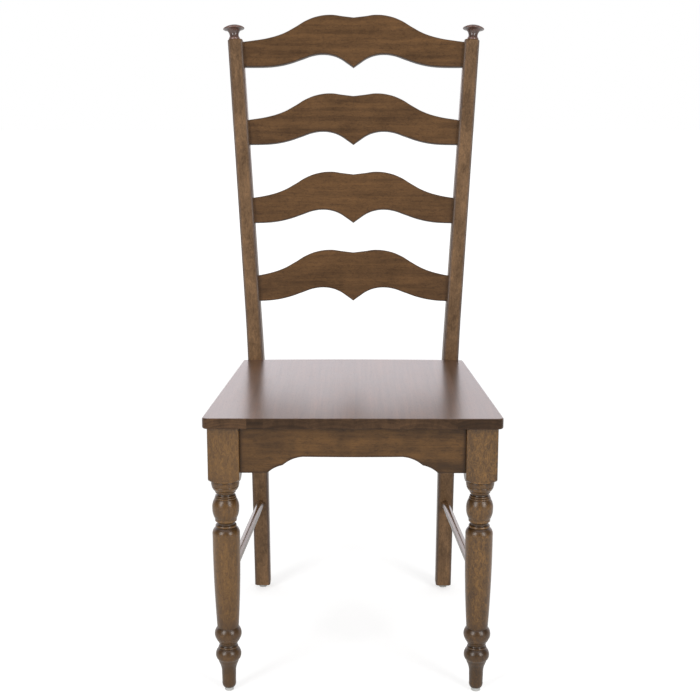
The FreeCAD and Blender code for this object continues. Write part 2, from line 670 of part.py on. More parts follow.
def build():
    """Every piece by name, in the building frame."""
    pieces = {}
    post = post_blank()
    posts = both_sides(post)
    leg = leg_blank()

    post_cuts = []
    for index in range(SLAT_COUNT):
        shape, tenon = slat(index, posts)
        pieces["ladder_slat_%d" % (index + 1)] = shape
        post_cuts.append(tenon)

    finial_shape = finial()
    pieces["finial_left"], pieces["finial_right"] = both_sides(finial_shape)
    post_cuts.append(finial_shape)

    rail, rail_tenons = stretcher(leg, post)
    pieces["side_stretcher_left"], pieces["side_stretcher_right"] = both_sides(rail)

    dowels = right_dowels()
    pieces["apron_dowels"] = Part.makeCompound(
        [piece for shape in dowels for piece in both_sides(shape)])

    inner_leg = Vector(LEG_SPACING / 2 - LEG_BLOCK / 2, LEG_SETBACK + LEG_BLOCK / 2, 0)
    front_inner = corner_plan()[2]
    front_block = corner_block(front_inner, 1, inner_leg)
    rear_corner = Vector(REAR_BLOCK_CORNER[0], REAR_BLOCK_CORNER[1], 0)
    rear_block = corner_block(REAR_APRON_FRONT, -1, rear_corner)
    rear_block = biggest(rear_block.cut(post))

    screws = []
    ways = []
    seat_screws = []
    middle_height = FRAME_TOP - BLOCK_HEIGHT / 2
    side_direction = side_apron_line()[1]
    outward = Vector(side_direction.y, -side_direction.x, 0)
    blocks = ((front_block, front_inner, 1), (rear_block, REAR_APRON_FRONT, -1))
    for block, end_y, sense in blocks:
        centre = block.CenterOfMass
        to_apron = Vector(0, sense, 0)
        tip = Vector(centre.x - SCREW_SPREAD, end_y - sense * SCREW_BITE, middle_height)
        screws.append(screw(tip, to_apron))
        ways.append(screw_way(tip, to_apron))
        side_y = centre.y + sense * SCREW_SPREAD
        tip = Vector(side_inner_x(side_y), side_y, middle_height) + outward * SCREW_BITE
        screws.append(screw(tip, outward * -1))
        ways.append(screw_way(tip, outward * -1))
        tip = Vector(centre.x, centre.y, FRAME_TOP + SEAT_SCREW_BITE)
        seat_screws.append(screw(tip, Vector(0, 0, -1)))
        ways.append(screw_way(tip, Vector(0, 0, -1)))
    pieces["corner_block_screws"] = Part.makeCompound(
        [piece for shape in screws for piece in both_sides(shape)])
    pieces["seat_screws"] = Part.makeCompound(
        [piece for shape in seat_screws for piece in both_sides(shape)])

    front_foot = (LEG_SPACING / 2, LEG_SETBACK)
    rear_foot = (
        (POST_OUTER_AT_FLOOR + POST_INNER_AT_FLOOR) / 2, POST_FRONT_AT_FLOOR + POST_FOOT_DEPTH / 2)
    nails = [glide_nail(*foot) for foot in (front_foot, rear_foot)]
    pieces["glide_nails"] = Part.makeCompound(
        [piece for shape in nails for piece in both_sides(shape)])
    for name, foot, nail in (("front", front_foot, nails[0]), ("rear", rear_foot, nails[1])):
        shape = cut_all(glide(*foot), [nail, glide_well(*foot)])
        pieces["glide_%s_left" % name], pieces["glide_%s_right" % name] = both_sides(shape)

    fixings = dowels + screws + nails
    leg = cut_all(leg, fixings + [rail_tenons[0]])
    pieces["front_leg_left"], pieces["front_leg_right"] = both_sides(leg)
    joined_post = cut_all(post, fixings + post_cuts + [rail_tenons[1]])
    pieces["back_post_left"], pieces["back_post_right"] = both_sides(joined_post)

    side = cut_all(side_apron_blank(post), fixings)
    pieces["side_apron_left"], pieces["side_apron_right"] = both_sides(side)
    every_fixing = fixings + [mirrored(shape) for shape in fixings]
    pieces["front_apron"] = cut_all(front_apron_blank(), every_fixing)
    pieces["rear_apron"] = cut_all(rear_apron_blank(posts), every_fixing)
    for name, block in (("front", front_block), ("rear", rear_block)):
        block = cut_all(block, screws + seat_screws + ways)
        left, right = both_sides(block)
        pieces["corner_block_%s_left" % name] = left
        pieces["corner_block_%s_right" % name] = right

    seat_cuts = posts + seat_screws + [mirrored(shape) for shape in seat_screws]
    pieces["seat_panel"] = cut_all(seat_blank(), seat_cuts)
    return pieces


def main():
    os.makedirs("parts", exist_ok=True)
    pieces = build()
    rearmost = pieces["ladder_slat_%d" % SLAT_COUNT].optimalBoundingBox().YMax
    to_origin = Vector(0, -rearmost / 2, -FLOOR_LEVEL)
    for name, shape in sorted(pieces.items()):
        shape.translate(to_origin)
        shape.exportStep("parts/%s.step" % name)
        print(name, len(shape.Solids), shape.isValid(), round(shape.Volume / 1000, 1))


main()
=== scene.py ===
import math

import bpy
import numpy as np
from bpy.props import FloatProperty, FloatVectorProperty, PointerProperty
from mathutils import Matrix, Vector


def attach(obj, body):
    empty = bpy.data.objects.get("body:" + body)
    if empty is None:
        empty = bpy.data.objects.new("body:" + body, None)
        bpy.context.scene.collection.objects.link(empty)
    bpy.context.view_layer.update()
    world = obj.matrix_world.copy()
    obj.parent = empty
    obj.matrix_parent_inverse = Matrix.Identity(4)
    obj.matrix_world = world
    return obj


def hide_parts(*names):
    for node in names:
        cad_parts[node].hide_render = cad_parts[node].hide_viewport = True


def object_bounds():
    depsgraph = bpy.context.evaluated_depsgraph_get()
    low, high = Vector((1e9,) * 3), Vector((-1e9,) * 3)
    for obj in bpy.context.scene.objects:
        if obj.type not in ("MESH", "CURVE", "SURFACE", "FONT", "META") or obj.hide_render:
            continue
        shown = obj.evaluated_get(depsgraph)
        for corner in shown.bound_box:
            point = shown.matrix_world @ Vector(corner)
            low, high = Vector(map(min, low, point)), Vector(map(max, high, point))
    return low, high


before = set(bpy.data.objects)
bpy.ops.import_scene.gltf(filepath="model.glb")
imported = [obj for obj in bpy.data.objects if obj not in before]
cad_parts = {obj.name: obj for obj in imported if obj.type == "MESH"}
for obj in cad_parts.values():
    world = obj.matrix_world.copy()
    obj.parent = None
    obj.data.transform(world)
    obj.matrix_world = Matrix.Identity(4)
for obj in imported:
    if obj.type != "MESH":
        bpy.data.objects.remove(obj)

bl_info = {
    "name": "Ladderback chair",
    "version": (1, 0, 0),
    "blender": (4, 5, 0),
    "location": "View3D > Sidebar > Ladderback",
    "description": "Builds a stained wooden ladderback chair around its construction model",
    "category": "Add Mesh",
}

MM = 0.001
CAD_LOW, CAD_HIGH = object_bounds()

# The drawing is in millimetres. X runs to the right, Y to the back from the seat's front edge,
# and Z up, with the floor at minus FLOOR_DROP. FRONT_EDGE is that edge in the frame, in metres.
FRONT_EDGE = CAD_LOW.y
FLOOR_DROP = 2.3
FOOT_LEVEL = 4.0
SEAT_TOP = 459.0
POST_TOP = 1040.0
RAKE = math.radians(10)
HANDS = ((-1, "left"), (1, "right"))
FULL_TURN = 2 * math.pi


# Settings

def length(name, description, millimetres):
    return FloatProperty(name=name, description=description, default=millimetres * MM,
                         unit="LENGTH", subtype="DISTANCE")


def middle_tone(name, description, colour):
    return FloatVectorProperty(name=name, description="Middle tone of " + description,
                               default=colour, subtype="COLOR", min=0, max=1)


def amount(name, description, default):
    return FloatProperty(name=name, description=description, default=default, min=0)


class ChairSizes(bpy.types.PropertyGroup):
    """Sizes of the chair's visible pieces."""
    seat_height: length("Seat height", "Top of the seat above the floor", SEAT_TOP + FLOOR_DROP)
    seat_thickness: length("Seat thickness", "Thickness of the seat panel", 17)
    seat_front: length("Seat front width", "Width of the seat at its front edge", 462.6)
    seat_rear: length("Seat rear width", "Width of the seat at its rear edge", 406)
    seat_depth: length("Seat depth", "Depth of the seat at its rear corners", 432)
    slat_thickness: length("Slat thickness", "Thickness of a ladder slat", 14)
    slat_bow: length("Slat bow", "How far a slat bends back in the middle", 12)
    slat_pitch: length("Slat pitch", "Distance between slats along the rake", 145.35)
    stretcher_radius: length("Stretcher radius", "Radius of the side stretchers", 7.3)


class ChairColours(bpy.types.PropertyGroup):
    """Stain colours, linear, and how the lacquer shines."""
    post: middle_tone("Posts", "the back posts", (0.170, 0.094, 0.0425))
    slat: middle_tone("Slats", "the ladder slats", (0.116, 0.055, 0.0175))
    leg: middle_tone("Front legs", "the turned front legs", (0.162, 0.0768, 0.0158))
    apron: middle_tone("Apron", "the aprons", (0.094, 0.0440, 0.0118))
    seat: middle_tone("Seat", "the seat panel", (0.102, 0.051, 0.031))
    seat_edge: middle_tone("Seat edge", "the end grain along the seat's front",
                           (0.0704, 0.0362, 0.0165))
    finial: middle_tone("Finials", "the finials", (0.122, 0.062, 0.046))
    bare: middle_tone("Bare wood", "the unfinished pieces under the seat", (0.52, 0.36, 0.20))
    lacquer: FloatProperty(
        name="Lacquer", description="Weight of the clear coat on the back and the aprons",
        default=0.4, min=0, max=1, subtype="FACTOR")


class StageSettings(bpy.types.PropertyGroup):
    """Camera and light."""
    lens: FloatProperty(
        name="Lens", description="Focal length on a 36 mm sensor, in millimetres",
        default=64.56, min=1)
    camera_height: length("Camera height", "Height of the camera above the floor", 946.33)
    camera_distance: length("Camera distance", "From the camera to the seat's front edge",
                            1848.97)
    camera_pitch: FloatProperty(
        name="Camera pitch", description="How far the camera looks down",
        default=math.radians(11.559), subtype="ANGLE")
    lamp_power: FloatProperty(
        name="Lamp power", description="Power of each soft lamp", default=44, min=0,
        unit="POWER")
    sky: amount("Surround light", "Strength of the white surroundings on the wood", 0.55)
    ceiling: amount("Ceiling", "Strength of the surroundings straight above the chair", 0.42)
    light_behind: amount("Light behind", "How much stronger the surroundings are at the back",
                         1.0)
    backdrop: amount("Backdrop", "How bright the backdrop is in reflections", 1.16)
    backdrop_tint: FloatVectorProperty(
        name="Backdrop tint", description="Tint of the backdrop in reflections",
        default=(1.0, 0.94, 0.975), subtype="COLOR", min=0, max=1)
    room: amount("Room", "How bright the room behind the camera is in reflections", 0.11)
    overhead: amount("Overhead", "How bright the ceiling over the chair is in reflections", 1.3)
    floor_near: amount("Floor near", "Glow of the floor by the chair, to camera rays", 0.58)
    floor_far: amount("Floor far", "Glow of the floor far away, to camera rays", 0.75)


# Shader and geometry nodes

def math_node(operation, swapped=False):
    """A method of Wire that adds a Math node of the wire and another value."""
    def method(wire, other=0.0):
        first, second = (other, wire) if swapped else (wire, other)
        return add_node(wire.tree, "ShaderNodeMath", {"operation": operation},
                        {0: first, 1: second})
    return method


class Wire:
    """A node's output socket that can stand in a sum, which adds the Math nodes."""

    def __init__(self, socket):
        self.socket = socket
        self.tree = socket.id_data

    __add__ = __radd__ = math_node("ADD")
    __mul__ = __rmul__ = math_node("MULTIPLY")
    __sub__ = math_node("SUBTRACT")
    __rsub__ = math_node("SUBTRACT", swapped=True)
    __truediv__ = math_node("DIVIDE")
    __rtruediv__ = math_node("DIVIDE", swapped=True)
    __pow__ = math_node("POWER")
    __abs__ = math_node("ABSOLUTE")
    least = math_node("MINIMUM")
    most = math_node("MAXIMUM")
    sign = math_node("SIGN")
    sine = math_node("SINE")
    cosine = math_node("COSINE")

    def step(self, low, high, low_value=0.0, high_value=1.0):
        """A smooth step from low_value to high_value as the wire goes from low to high."""
        return add_node(
            self.tree, "ShaderNodeMapRange", {"interpolation_type": "SMOOTHSTEP"},
            {"Value": self, "From Min": low, "From Max": high,
             "To Min": low_value, "To Max": high_value})


def add_node(tree, kind, settings=None, sockets=None, output=0):
    """Adds a node: its settings first, then the values or links of its sockets."""
    node = tree.nodes.new(kind)
    for name, value in (settings or {}).items():
        if name == "stops":
            while len(node.color_ramp.elements) < len(value):
                node.color_ramp.elements.new(1.0)
            for element, (place, colour) in zip(node.color_ramp.elements, value):
                element.position = place
                element.color = colour
        elif name == "curve":
            points = node.mapping.curves[0].points
            while len(points) < len(value):
                points.new(1.0, 1.0)
            for point, place in zip(points, value):
                point.location = place
                point.handle_type = "AUTO_CLAMPED" if place in value[1:-1] else "AUTO"
            node.mapping.update()
        elif name == "ramp":
            node.color_ramp.interpolation = value
        else:
            setattr(node, name, value)
    for key, value in (sockets or {}).items():
        if isinstance(value, Wire):
            tree.links.new(value.socket, node.inputs[key])
        else:
            node.inputs[key].default_value = value
    return Wire(node.outputs[output]) if node.outputs else None


def vector(tree, x, y, z):
    return add_node(tree, "ShaderNodeCombineXYZ", None, {0: x, 1: y, 2: z})


def parts_of(wire):
    """The x, y and z of a vector wire."""
    first = add_node(wire.tree, "ShaderNodeSeparateXYZ", None, {0: wire})
    return [Wire(socket) for socket in first.socket.node.outputs]


def mix_colour(share, first, second, blend="MIX"):
    tree = next(w.tree for w in (share, first, second) if isinstance(w, Wire))
    return add_node(tree, "ShaderNodeMix", {"data_type": "RGBA", "blend_type": blend},
                    {0: share, 6: first, 7: second}, output=2)


def noise(place, scale, detail=3.0, roughness=0.55, distortion=0.0):
    """A noise between 0 and 1 at a place, which is a vector wire."""
    return add_node(place.tree, "ShaderNodeTexNoise", None,
                    {"Vector": place, "Scale": scale, "Detail": detail,
                     "Roughness": roughness, "Distortion": distortion})


def stretched(place, pace):
    """The place scaled by its cycles a metre along, across and through the grain."""
    return add_node(place.tree, "ShaderNodeMapping", {"vector_type": "POINT"},
                    {"Vector": place, "Scale": pace})


def attribute(tree, name, output="Vector"):
    return add_node(tree, "ShaderNodeAttribute", {"attribute_name": name}, output=output)


def object_place(tree):
    return add_node(tree, "ShaderNodeTexCoord", output="Object")


def rgba(colour):
    return (*colour, 1.0)


def scaled(colour, factor):
    return tuple(min(1.0, c * factor) for c in colour)


def new_material(name):
    material = bpy.data.materials.new(name)
    material.use_nodes = True
    material.node_tree.nodes.clear()
    return material, material.node_tree


# Materials

# The noises in wood: the place each one reads, its cycles a metre along, across and through
# the grain, and its detail, roughness and distortion
WOOD_NOISES = {
    "wander": ("waved", (3.2, 16, 16), 2.0, 0.55, 0.0),
    "rings": ("waved", (3.4, 110, 70), 3.0, 0.6, 0.3),
    "fibres": ("waved", (26, 620, 620), 3.0, 0.6, 0.0),
    "pores": ("waved", (120, 1150, 1150), 2.0, 0.5, 0.0),
    "cloud": ("still", (20, 34, 34), 3.0, 0.55, 0.6),
    "curls": ("curled", (120, 210, 210), 2.0, 0.5, 1.6),
    "flecks": ("curled", (110, 300, 300), 2.0, 0.5, 0.8),
    "veins": ("curled", (62, 125, 125), 1.0, 0.5, 1.3),
}
# How the stain's tone follows the light on it: a place on the ramp and a factor of the tone
WOOD_TONES = ((0.00, 0.16), (0.32, 0.60), (0.50, 1.0), (0.68, 1.45), (1.00, 2.3))
MIDDLE_PLACE = 0.5
DEEP_SHIFT = (1.0, 0.95, 0.85)

# Each stave of the seat: its left edge as a share of STAVES_SPAN, in metres about the middle,
# the place of its heart on the same scale, and its tone on top and on the end grain
STAVES_SPAN = 0.5
HEART_HEIGHT = 0.34
SEAT_STAVES = [
    (0.0, 0.13, 0.98, 1.17), (0.174, 0.20, 1.02, 0.74), (0.226, 0.30, 0.96, 0.87),
    (0.365, 0.44, 1.02, 0.87), (0.505, 0.58, 0.99, 1.04), (0.644, 0.71, 1.01, 0.98),
    (0.82, 0.90, 0.97, 0.80),
]


def wandering(place, pace, reach):
    """The place pushed sideways by a slow noise, so that the grain runs in waves."""
    push = (noise(stretched(place, pace), 1.0, 2.0) - 0.5) * reach
    along, across, through = parts_of(place)
    return vector(place.tree, along, across + push, through + push)


def glued_staves(place, light, end):
    """The light on staves, each with its own tone and with rings about its own heart."""
    along, across, through = parts_of(place)
    stops = [(edge, (heart, tone_top, tone_end, 1.0))
             for edge, heart, tone_top, tone_end in SEAT_STAVES]
    heart, tone_top, tone_end = parts_of(
        add_node(place.tree, "ShaderNodeValToRGB", {"ramp": "CONSTANT", "stops": stops},
                 {0: (across + STAVES_SPAN / 2) / STAVES_SPAN}))
    aside = across - (heart * STAVES_SPAN - STAVES_SPAN / 2)
    below = through - HEART_HEIGHT
    radius = (aside * aside + below * below) ** 0.5
    growth = noise(vector(place.tree, along * 3.4, radius * 210, heart * 40), 1.0, 2.0, 0.5)
    return (light * (tone_top + end * (tone_end - tone_top))
            + (growth - 0.5) * (0.5 + end * 0.5))


def wood_material(name, tone, turn=None, streaks=0.3, blotch=0.25, curl=0.2, flecks=0.3,
                  pores=0.5, veins=0.0, wave=0.004, rough=0.42, shine=0.2, coat=0.4,
                  coat_rough=0.3, end_axis=None, end_grain_and_top_shade=0.35, end_tone=None, staves=False,
                  rim=0.0, edge_shade_width=0.003, edge_shade_tone=(0, 0, 0)):
    """Stained, lacquered wood. The place is the piece's own grain attribute, or where a turn
    is given its object coordinates, turned so that the grain runs along the first axis."""
    material, tree = new_material(name)
    if turn is None:
        place = attribute(tree, "grain")
    else:
        place = add_node(tree, "ShaderNodeMapping", {"vector_type": "POINT"},
                         {"Vector": object_place(tree), "Rotation": turn})
    places = {"still": place, "waved": wandering(place, (9, 14, 14), wave),
              "curled": wandering(place, (70, 40, 40), wave)}

    def layer(kind):
        where, pace, *looks = WOOD_NOISES[kind]
        return noise(stretched(places[where], pace), 1.0, *looks)

    cloud, fibres = layer("cloud"), layer("fibres")
    light = (
        1.0
        + (layer("rings") - 0.5) * (2.2 * streaks)
        + (layer("wander") - 0.5) * (1.6 * blotch)
        + (cloud - 0.5) * (2.2 * blotch)
        + (layer("curls") - 0.5) * (2.4 * curl)
        + (fibres - 0.5) * 0.30
    )
    if veins:
        light = light + abs(layer("veins") - 0.5).step(0.0, 0.075, 0.6, -0.4) * veins
    light = light * (1.0 - layer("flecks").step(0.50, 0.72) * flecks)
    if end_axis:
        # Faces looking along the axis are darker: on the seat both ways, its end grain; on the
        # turnings only faces looking up, end grain with a painted shade on their tops
        facing = add_node(tree, "ShaderNodeNewGeometry", output="Normal")
        along = add_node(tree, "ShaderNodeVectorMath", {"operation": "DOT_PRODUCT"},
                         {0: facing, 1: end_axis}, output="Value")
        end = (abs(along) if staves else along).step(0.15, 0.95)
        light = light * (1.0 - end * end_grain_and_top_shade)
    if staves:
        light = glued_staves(place, light, end)
    if turn is None:
        # The piece's own value darkens it: darker hollows and stain at the foot, painted shade on
        # shoulders, towards the floor and along eased edges, and where it is negative a painted
        # highlight on small rings
        light = light * (1.0 - attribute(tree, "stain", "Fac"))
    pore_mask = layer("pores").step(0.60, 0.72) * pores
    light = (light * (1.0 - pore_mask * 0.55)).step(0.0, 2.0)
    deep = [part * shift for part, shift in zip(tone, DEEP_SHIFT)]
    stops = [(spot, rgba(scaled(deep if spot < MIDDLE_PLACE else tone, factor)))
             for spot, factor in WOOD_TONES]
    colour = add_node(tree, "ShaderNodeValToRGB", {"stops": stops}, {0: light})
    if rim:
        # Painted shade along the edges of the face, darkest at an edge and fading inwards
        side, face, half = parts_of(attribute(tree, "rim"))
        inside = (1.0 - abs(side).least(abs(face))) * half
        colour = mix_colour(inside.step(0.0, edge_shade_width, rim, 0.0), colour, rgba(edge_shade_tone))
    roughness = rough + (cloud - 0.5) * 0.10 + pore_mask * 0.15
    film = coat
    if end_tone:
        ratio = rgba(b / a for a, b in zip(tone, end_tone))
        colour = mix_colour(end, colour, mix_colour(1.0, colour, ratio, "MULTIPLY"))
        film = end.step(0.2, 0.9, coat, 0.05)
        roughness = roughness + end * 0.2
    bump = add_node(tree, "ShaderNodeBump", None,
                    {"Strength": 0.25, "Distance": 0.0004, "Height": fibres * 0.35 - pore_mask})
    shader = add_node(tree, "ShaderNodeBsdfPrincipled", None, {
        "Base Color": colour, "Roughness": roughness, "Normal": bump,
        "Specular IOR Level": shine,
        "Coat Weight": film, "Coat Roughness": coat_rough, "Coat IOR": 1.5})
    add_node(tree, "ShaderNodeOutputMaterial", None, {"Surface": shader})
    return material


def worn_material(name, colour, rough, metallic, grain=900.0, spread=0.08):
    """Moulded plastic or plated steel with a fine uneven surface."""
    material, tree = new_material(name)
    place = object_place(tree)
    speck, patch = noise(place, grain), noise(place, grain * 0.08)
    shade = (1.0 - spread) + speck * spread + patch * spread
    tint = mix_colour(shade, rgba(scaled(colour, 0.7)), rgba(colour))
    bump = add_node(tree, "ShaderNodeBump", None,
                    {"Strength": 0.2, "Distance": 0.0002, "Height": speck})
    shader = add_node(tree, "ShaderNodeBsdfPrincipled", None, {
        "Base Color": tint, "Roughness": rough + (patch - 0.5) * 0.15, "Metallic": metallic,
        "Normal": bump})
    add_node(tree, "ShaderNodeOutputMaterial", None, {"Surface": shader})
    return material


def plated_steel():
    """The steel of the screws and nails, made once."""
    name = "Plated steel"
    return bpy.data.materials.get(name) or worn_material(
        name, (0.62, 0.60, 0.52), 0.35, 1.0, grain=2500.0)


# Meshes

def skin(name, rings):
    """A closed mesh over rings of points, all with the same number of points."""
    rings = np.asarray(rings, float)
    count, around = rings.shape[:2]
    faces = []
    for i in range(count - 1):
        for j in range(around):
            k = (j + 1) % around
            faces.append((i * around + j, i * around + k, (i + 1) * around + k,
                          (i + 1) * around + j))
    faces.append(tuple(range(around))[::-1])
    faces.append(tuple((count - 1) * around + j for j in range(around)))
    mesh = bpy.data.meshes.new(name)
    mesh.from_pydata(rings.reshape(-1, 3).tolist(), [], faces)
    return mesh


def store(mesh, name, values):
    """Keeps a number or a vector at each point of a mesh."""
    values = np.asarray(values, np.float32)
    kind, key = ("FLOAT", "value") if values.ndim == 1 else ("FLOAT_VECTOR", "vector")
    mesh.attributes.new(name, kind, "POINT").data.foreach_set(key, values.ravel())


def mesh_piece(name, rings, grain, stain=None, rim=None, seed=(0.0, 0.0, 0.0), sharp=35.0,
               flat_faces=True):
    """A skin over rings of points, with a grain coordinate at each point and, at each ring, a
    value for stain and painted light: the share of light it takes away, less where it paints a
    highlight.
    The edge shade holds two shares of the way from the middle to an edge, and half of the width,
    at each point, where the wood gets a painted shade along its edges."""
    mesh = skin(name, rings)
    store(mesh, "grain", np.asarray(grain, np.float32).reshape(-1, 3)
          + np.array(seed, np.float32))
    if stain is not None:
        store(mesh, "stain", np.repeat(stain, np.shape(rings)[1]))
    if rim is not None:
        store(mesh, "rim", np.reshape(rim, (-1, 3)))
    return shown_piece(name, mesh, sharp, flat_faces)


def add_object(name, data):
    """A new object, linked to the scene."""
    thing = bpy.data.objects.new(name, data)
    bpy.context.scene.collection.objects.link(thing)
    return thing


def shown_piece(name, mesh, sharp=35.0, flat_faces=True):
    """Links a mesh as a smooth shaded piece with its normals outwards."""
    mesh.validate()
    turn_outwards(mesh)
    mesh.shade_smooth()
    mesh.set_sharp_from_angle(angle=math.radians(sharp))
    piece = add_object(name, mesh)
    if flat_faces:
        piece.modifiers.new("Weighted normals", "WEIGHTED_NORMAL").keep_sharp = True
    return piece


def turn_outwards(mesh):
    """Flips the whole skin if its volume comes out negative."""
    mesh.calc_loop_triangles()
    points = np.empty(len(mesh.vertices) * 3)
    mesh.vertices.foreach_get("co", points)
    corners = np.empty(len(mesh.loop_triangles) * 3, np.int32)
    mesh.loop_triangles.foreach_get("vertices", corners)
    a, b, c = points.reshape(-1, 3)[corners.reshape(-1, 3).T]
    if np.einsum("ij,ij->i", a, np.cross(b, c)).sum() < 0:
        mesh.flip_normals()


def carry(piece, node, material):
    """The piece stands for a node of the construction and moves with the frame."""
    piece.data.materials.clear()
    piece.data.materials.append(material)
    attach(piece, "root")
    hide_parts(node)


def to_world(points):
    """From the drawing to the frame."""
    return np.asarray(points, float) * MM + np.array([0.0, FRONT_EDGE, FLOOR_DROP * MM])


def unit(vectors):
    return vectors / np.linalg.norm(vectors, axis=-1, keepdims=True)


def knee(height, low, bend, high, tangent):
    """A line from low to high through a bend that is rounded over the tangent's length.
    Each point is (distance, height)."""
    height = np.asarray(height, float)
    lower = (bend[0] - low[0]) / (bend[1] - low[1])
    upper = (high[0] - bend[0]) / (high[1] - bend[1])
    line = bend[0] + np.where(height < bend[1], lower, upper) * (height - bend[1])
    into = height - (bend[1] - tangent)
    curve = (bend[0] - lower * tangent + lower * into
             + (upper - lower) * into ** 2 / (4 * tangent))
    return np.where(np.abs(height - bend[1]) < tangent, curve, line)


def arc_through(first, middle, last, spacing):
    """Points along the arc through three points, without the first."""
    (ax, ay), (bx, by), (cx, cy) = first, middle, last
    d = 2 * (ax * (by - cy) + bx * (cy - ay) + cx * (ay - by))
    ux = ((ax ** 2 + ay ** 2) * (by - cy) + (bx ** 2 + by ** 2) * (cy - ay)
          + (cx ** 2 + cy ** 2) * (ay - by)) / d
    uy = ((ax ** 2 + ay ** 2) * (cx - bx) + (bx ** 2 + by ** 2) * (ax - cx)
          + (cx ** 2 + cy ** 2) * (bx - ax)) / d
    radius = math.hypot(ax - ux, ay - uy)
    start = math.atan2(ay - uy, ax - ux)
    sweep = (math.atan2(cy - uy, cx - ux) - start) % FULL_TURN
    if (bx - ax) * (cy - ay) < (by - ay) * (cx - ax):
        sweep -= FULL_TURN
    steps = max(2, math.ceil(abs(sweep) * radius / spacing))
    angles = [start + sweep * i / steps for i in range(1, steps + 1)]
    return [(ux + radius * math.cos(a), uy + radius * math.sin(a)) for a in angles]


def outline_points(steps, spacing, straight=None):
    """Points along straight runs (radius, height) and arcs (radius, height, radius, height)."""
    points = [steps[0][-2:]]
    for step in steps[1:]:
        here, end = points[-1], step[-2:]
        if len(step) == 4:
            points += arc_through(here, step[:2], end, spacing)
        else:
            parts = max(1, math.ceil(math.dist(here, end) / straight)) if straight else 1
            points += [(here[0] + (end[0] - here[0]) * i / parts,
                        here[1] + (end[1] - here[1]) * i / parts)
                       for i in range(1, parts + 1)]
    return np.array(points)


# Back posts

# Where the posts' front faces cross the seat's top and bend, and how they lean from there
BACK_AT_SEAT = 430.0
BEND_HEIGHT = 440.0
LEAN = math.tan(RAKE)
BEND_Y, TOP_Y = (BACK_AT_SEAT + LEAN * (z - SEAT_TOP) for z in (BEND_HEIGHT, POST_TOP))
# The right post's outer and inner sides seen from the front, and its front and back seen from
# the side: (distance, height) at the foot, at the bend and at the top, and the bend's tangent
POST_OUTER = (190.6, FOOT_LEVEL), (193.6, 448.0), (232.4, POST_TOP), 100.0
POST_INNER = (161.4, FOOT_LEVEL), (163.2, 400.0), (205.1, POST_TOP), 100.0
POST_FRONT = (455.0, FOOT_LEVEL), (BEND_Y, BEND_HEIGHT), (TOP_Y, POST_TOP), 60.0
POST_BACK = (484.0, FOOT_LEVEL), (BEND_Y + 41.0, BEND_HEIGHT), (TOP_Y + 27.0, POST_TOP), 60.0
SPLAY = (232.4 - 193.6) / (POST_TOP - 448.0)
POST_EASE = 3.0
POST_END_EASE = 1.6


def post_section(z):
    """The right post at a height: its middle across and deep, and half of its width so."""
    outer, inner, front, back = (
        knee(z, *line) for line in (POST_OUTER, POST_INNER, POST_FRONT, POST_BACK))
    return (outer + inner) / 2, (front + back) / 2, (outer - inner) / 2, (back - front) / 2


def rounded_corners(ease, steps=5):
    """The points of a rounded rectangle, as shares of its half widths and offsets from them."""
    shares, offsets = [], []
    for quarter, share in enumerate(((1, 1), (-1, 1), (-1, -1), (1, -1))):
        for i in range(steps):
            angle = math.pi / 2 * (quarter + i / (steps - 1))
            shares.append(share)
            offsets.append((ease * (math.cos(angle) - share[0]),
                            ease * (math.sin(angle) - share[1])))
    return np.array(shares).T, np.array(offsets).T


def back_post(side, name):
    """One back post: bent in side view, splayed in front view, its long edges rounded."""
    shares, offsets = rounded_corners(POST_EASE)
    # Height, inset of the end's bevel, and how far the level leans with the post's top
    levels = [(FOOT_LEVEL, POST_END_EASE, 0.0), (FOOT_LEVEL + POST_END_EASE, 0.0, 0.0)]
    levels += [(z, 0.0, 0.0) for z in np.linspace(15.0, 1000.0, 100)]
    levels += [(1025.0, 0.0, 1.0), (POST_TOP - POST_END_EASE, 0.0, 1.0),
               (POST_TOP, POST_END_EASE, 1.0)]
    rings, grain, rims = [], [], []
    for height, inset, tilt in levels:
        level_x, level_y, _, _ = post_section(height)
        z = np.full(shares.shape[1], height)
        for _ in range(4):
            middle_x, middle_y, half_x, half_y = post_section(z)
            across = shares[0] * half_x + offsets[0] - inset * shares[0]
            deep = shares[1] * half_y + offsets[1] - inset * shares[1]
            z = height - tilt * (SPLAY * (middle_x + across - level_x)
                                 + LEAN * (middle_y + deep - level_y))
        rings.append(np.stack([side * (middle_x + across), middle_y + deep, z], axis=1))
        grain.append(np.stack([z, side * across, deep], axis=1) * MM)
        # Each point's place between the middle and the edges, for the painted edge shade
        rims.append(np.stack([across / half_x, deep / half_y, half_x * MM], axis=1))
    return mesh_piece(name, to_world(rings), grain, rim=rims,
                      seed=(0.37 * side, 0.11 * side, 0.05))


class CHAIR_OT_back_posts(bpy.types.Operator):
    """Make the two back posts"""
    bl_idname = "chair.back_posts"
    bl_label = "Back posts"

    def execute(self, context):
        colours = context.scene.chair_colours
        # The posts get a painted shade along their edges
        wood = wood_material("Post wood", colours.post, streaks=0.16, curl=0.28, blotch=0.36,
                             flecks=0.16, pores=0.35, coat=colours.lacquer, rim=0.80,
                             edge_shade_width=0.0060, edge_shade_tone=(0.100, 0.072, 0.060))
        for side, hand in HANDS:
            piece = back_post(side, "post_" + hand)
            carry(piece, "back_post_" + hand, wood)
        return {"FINISHED"}


# Turnings: front legs, finials and stretchers

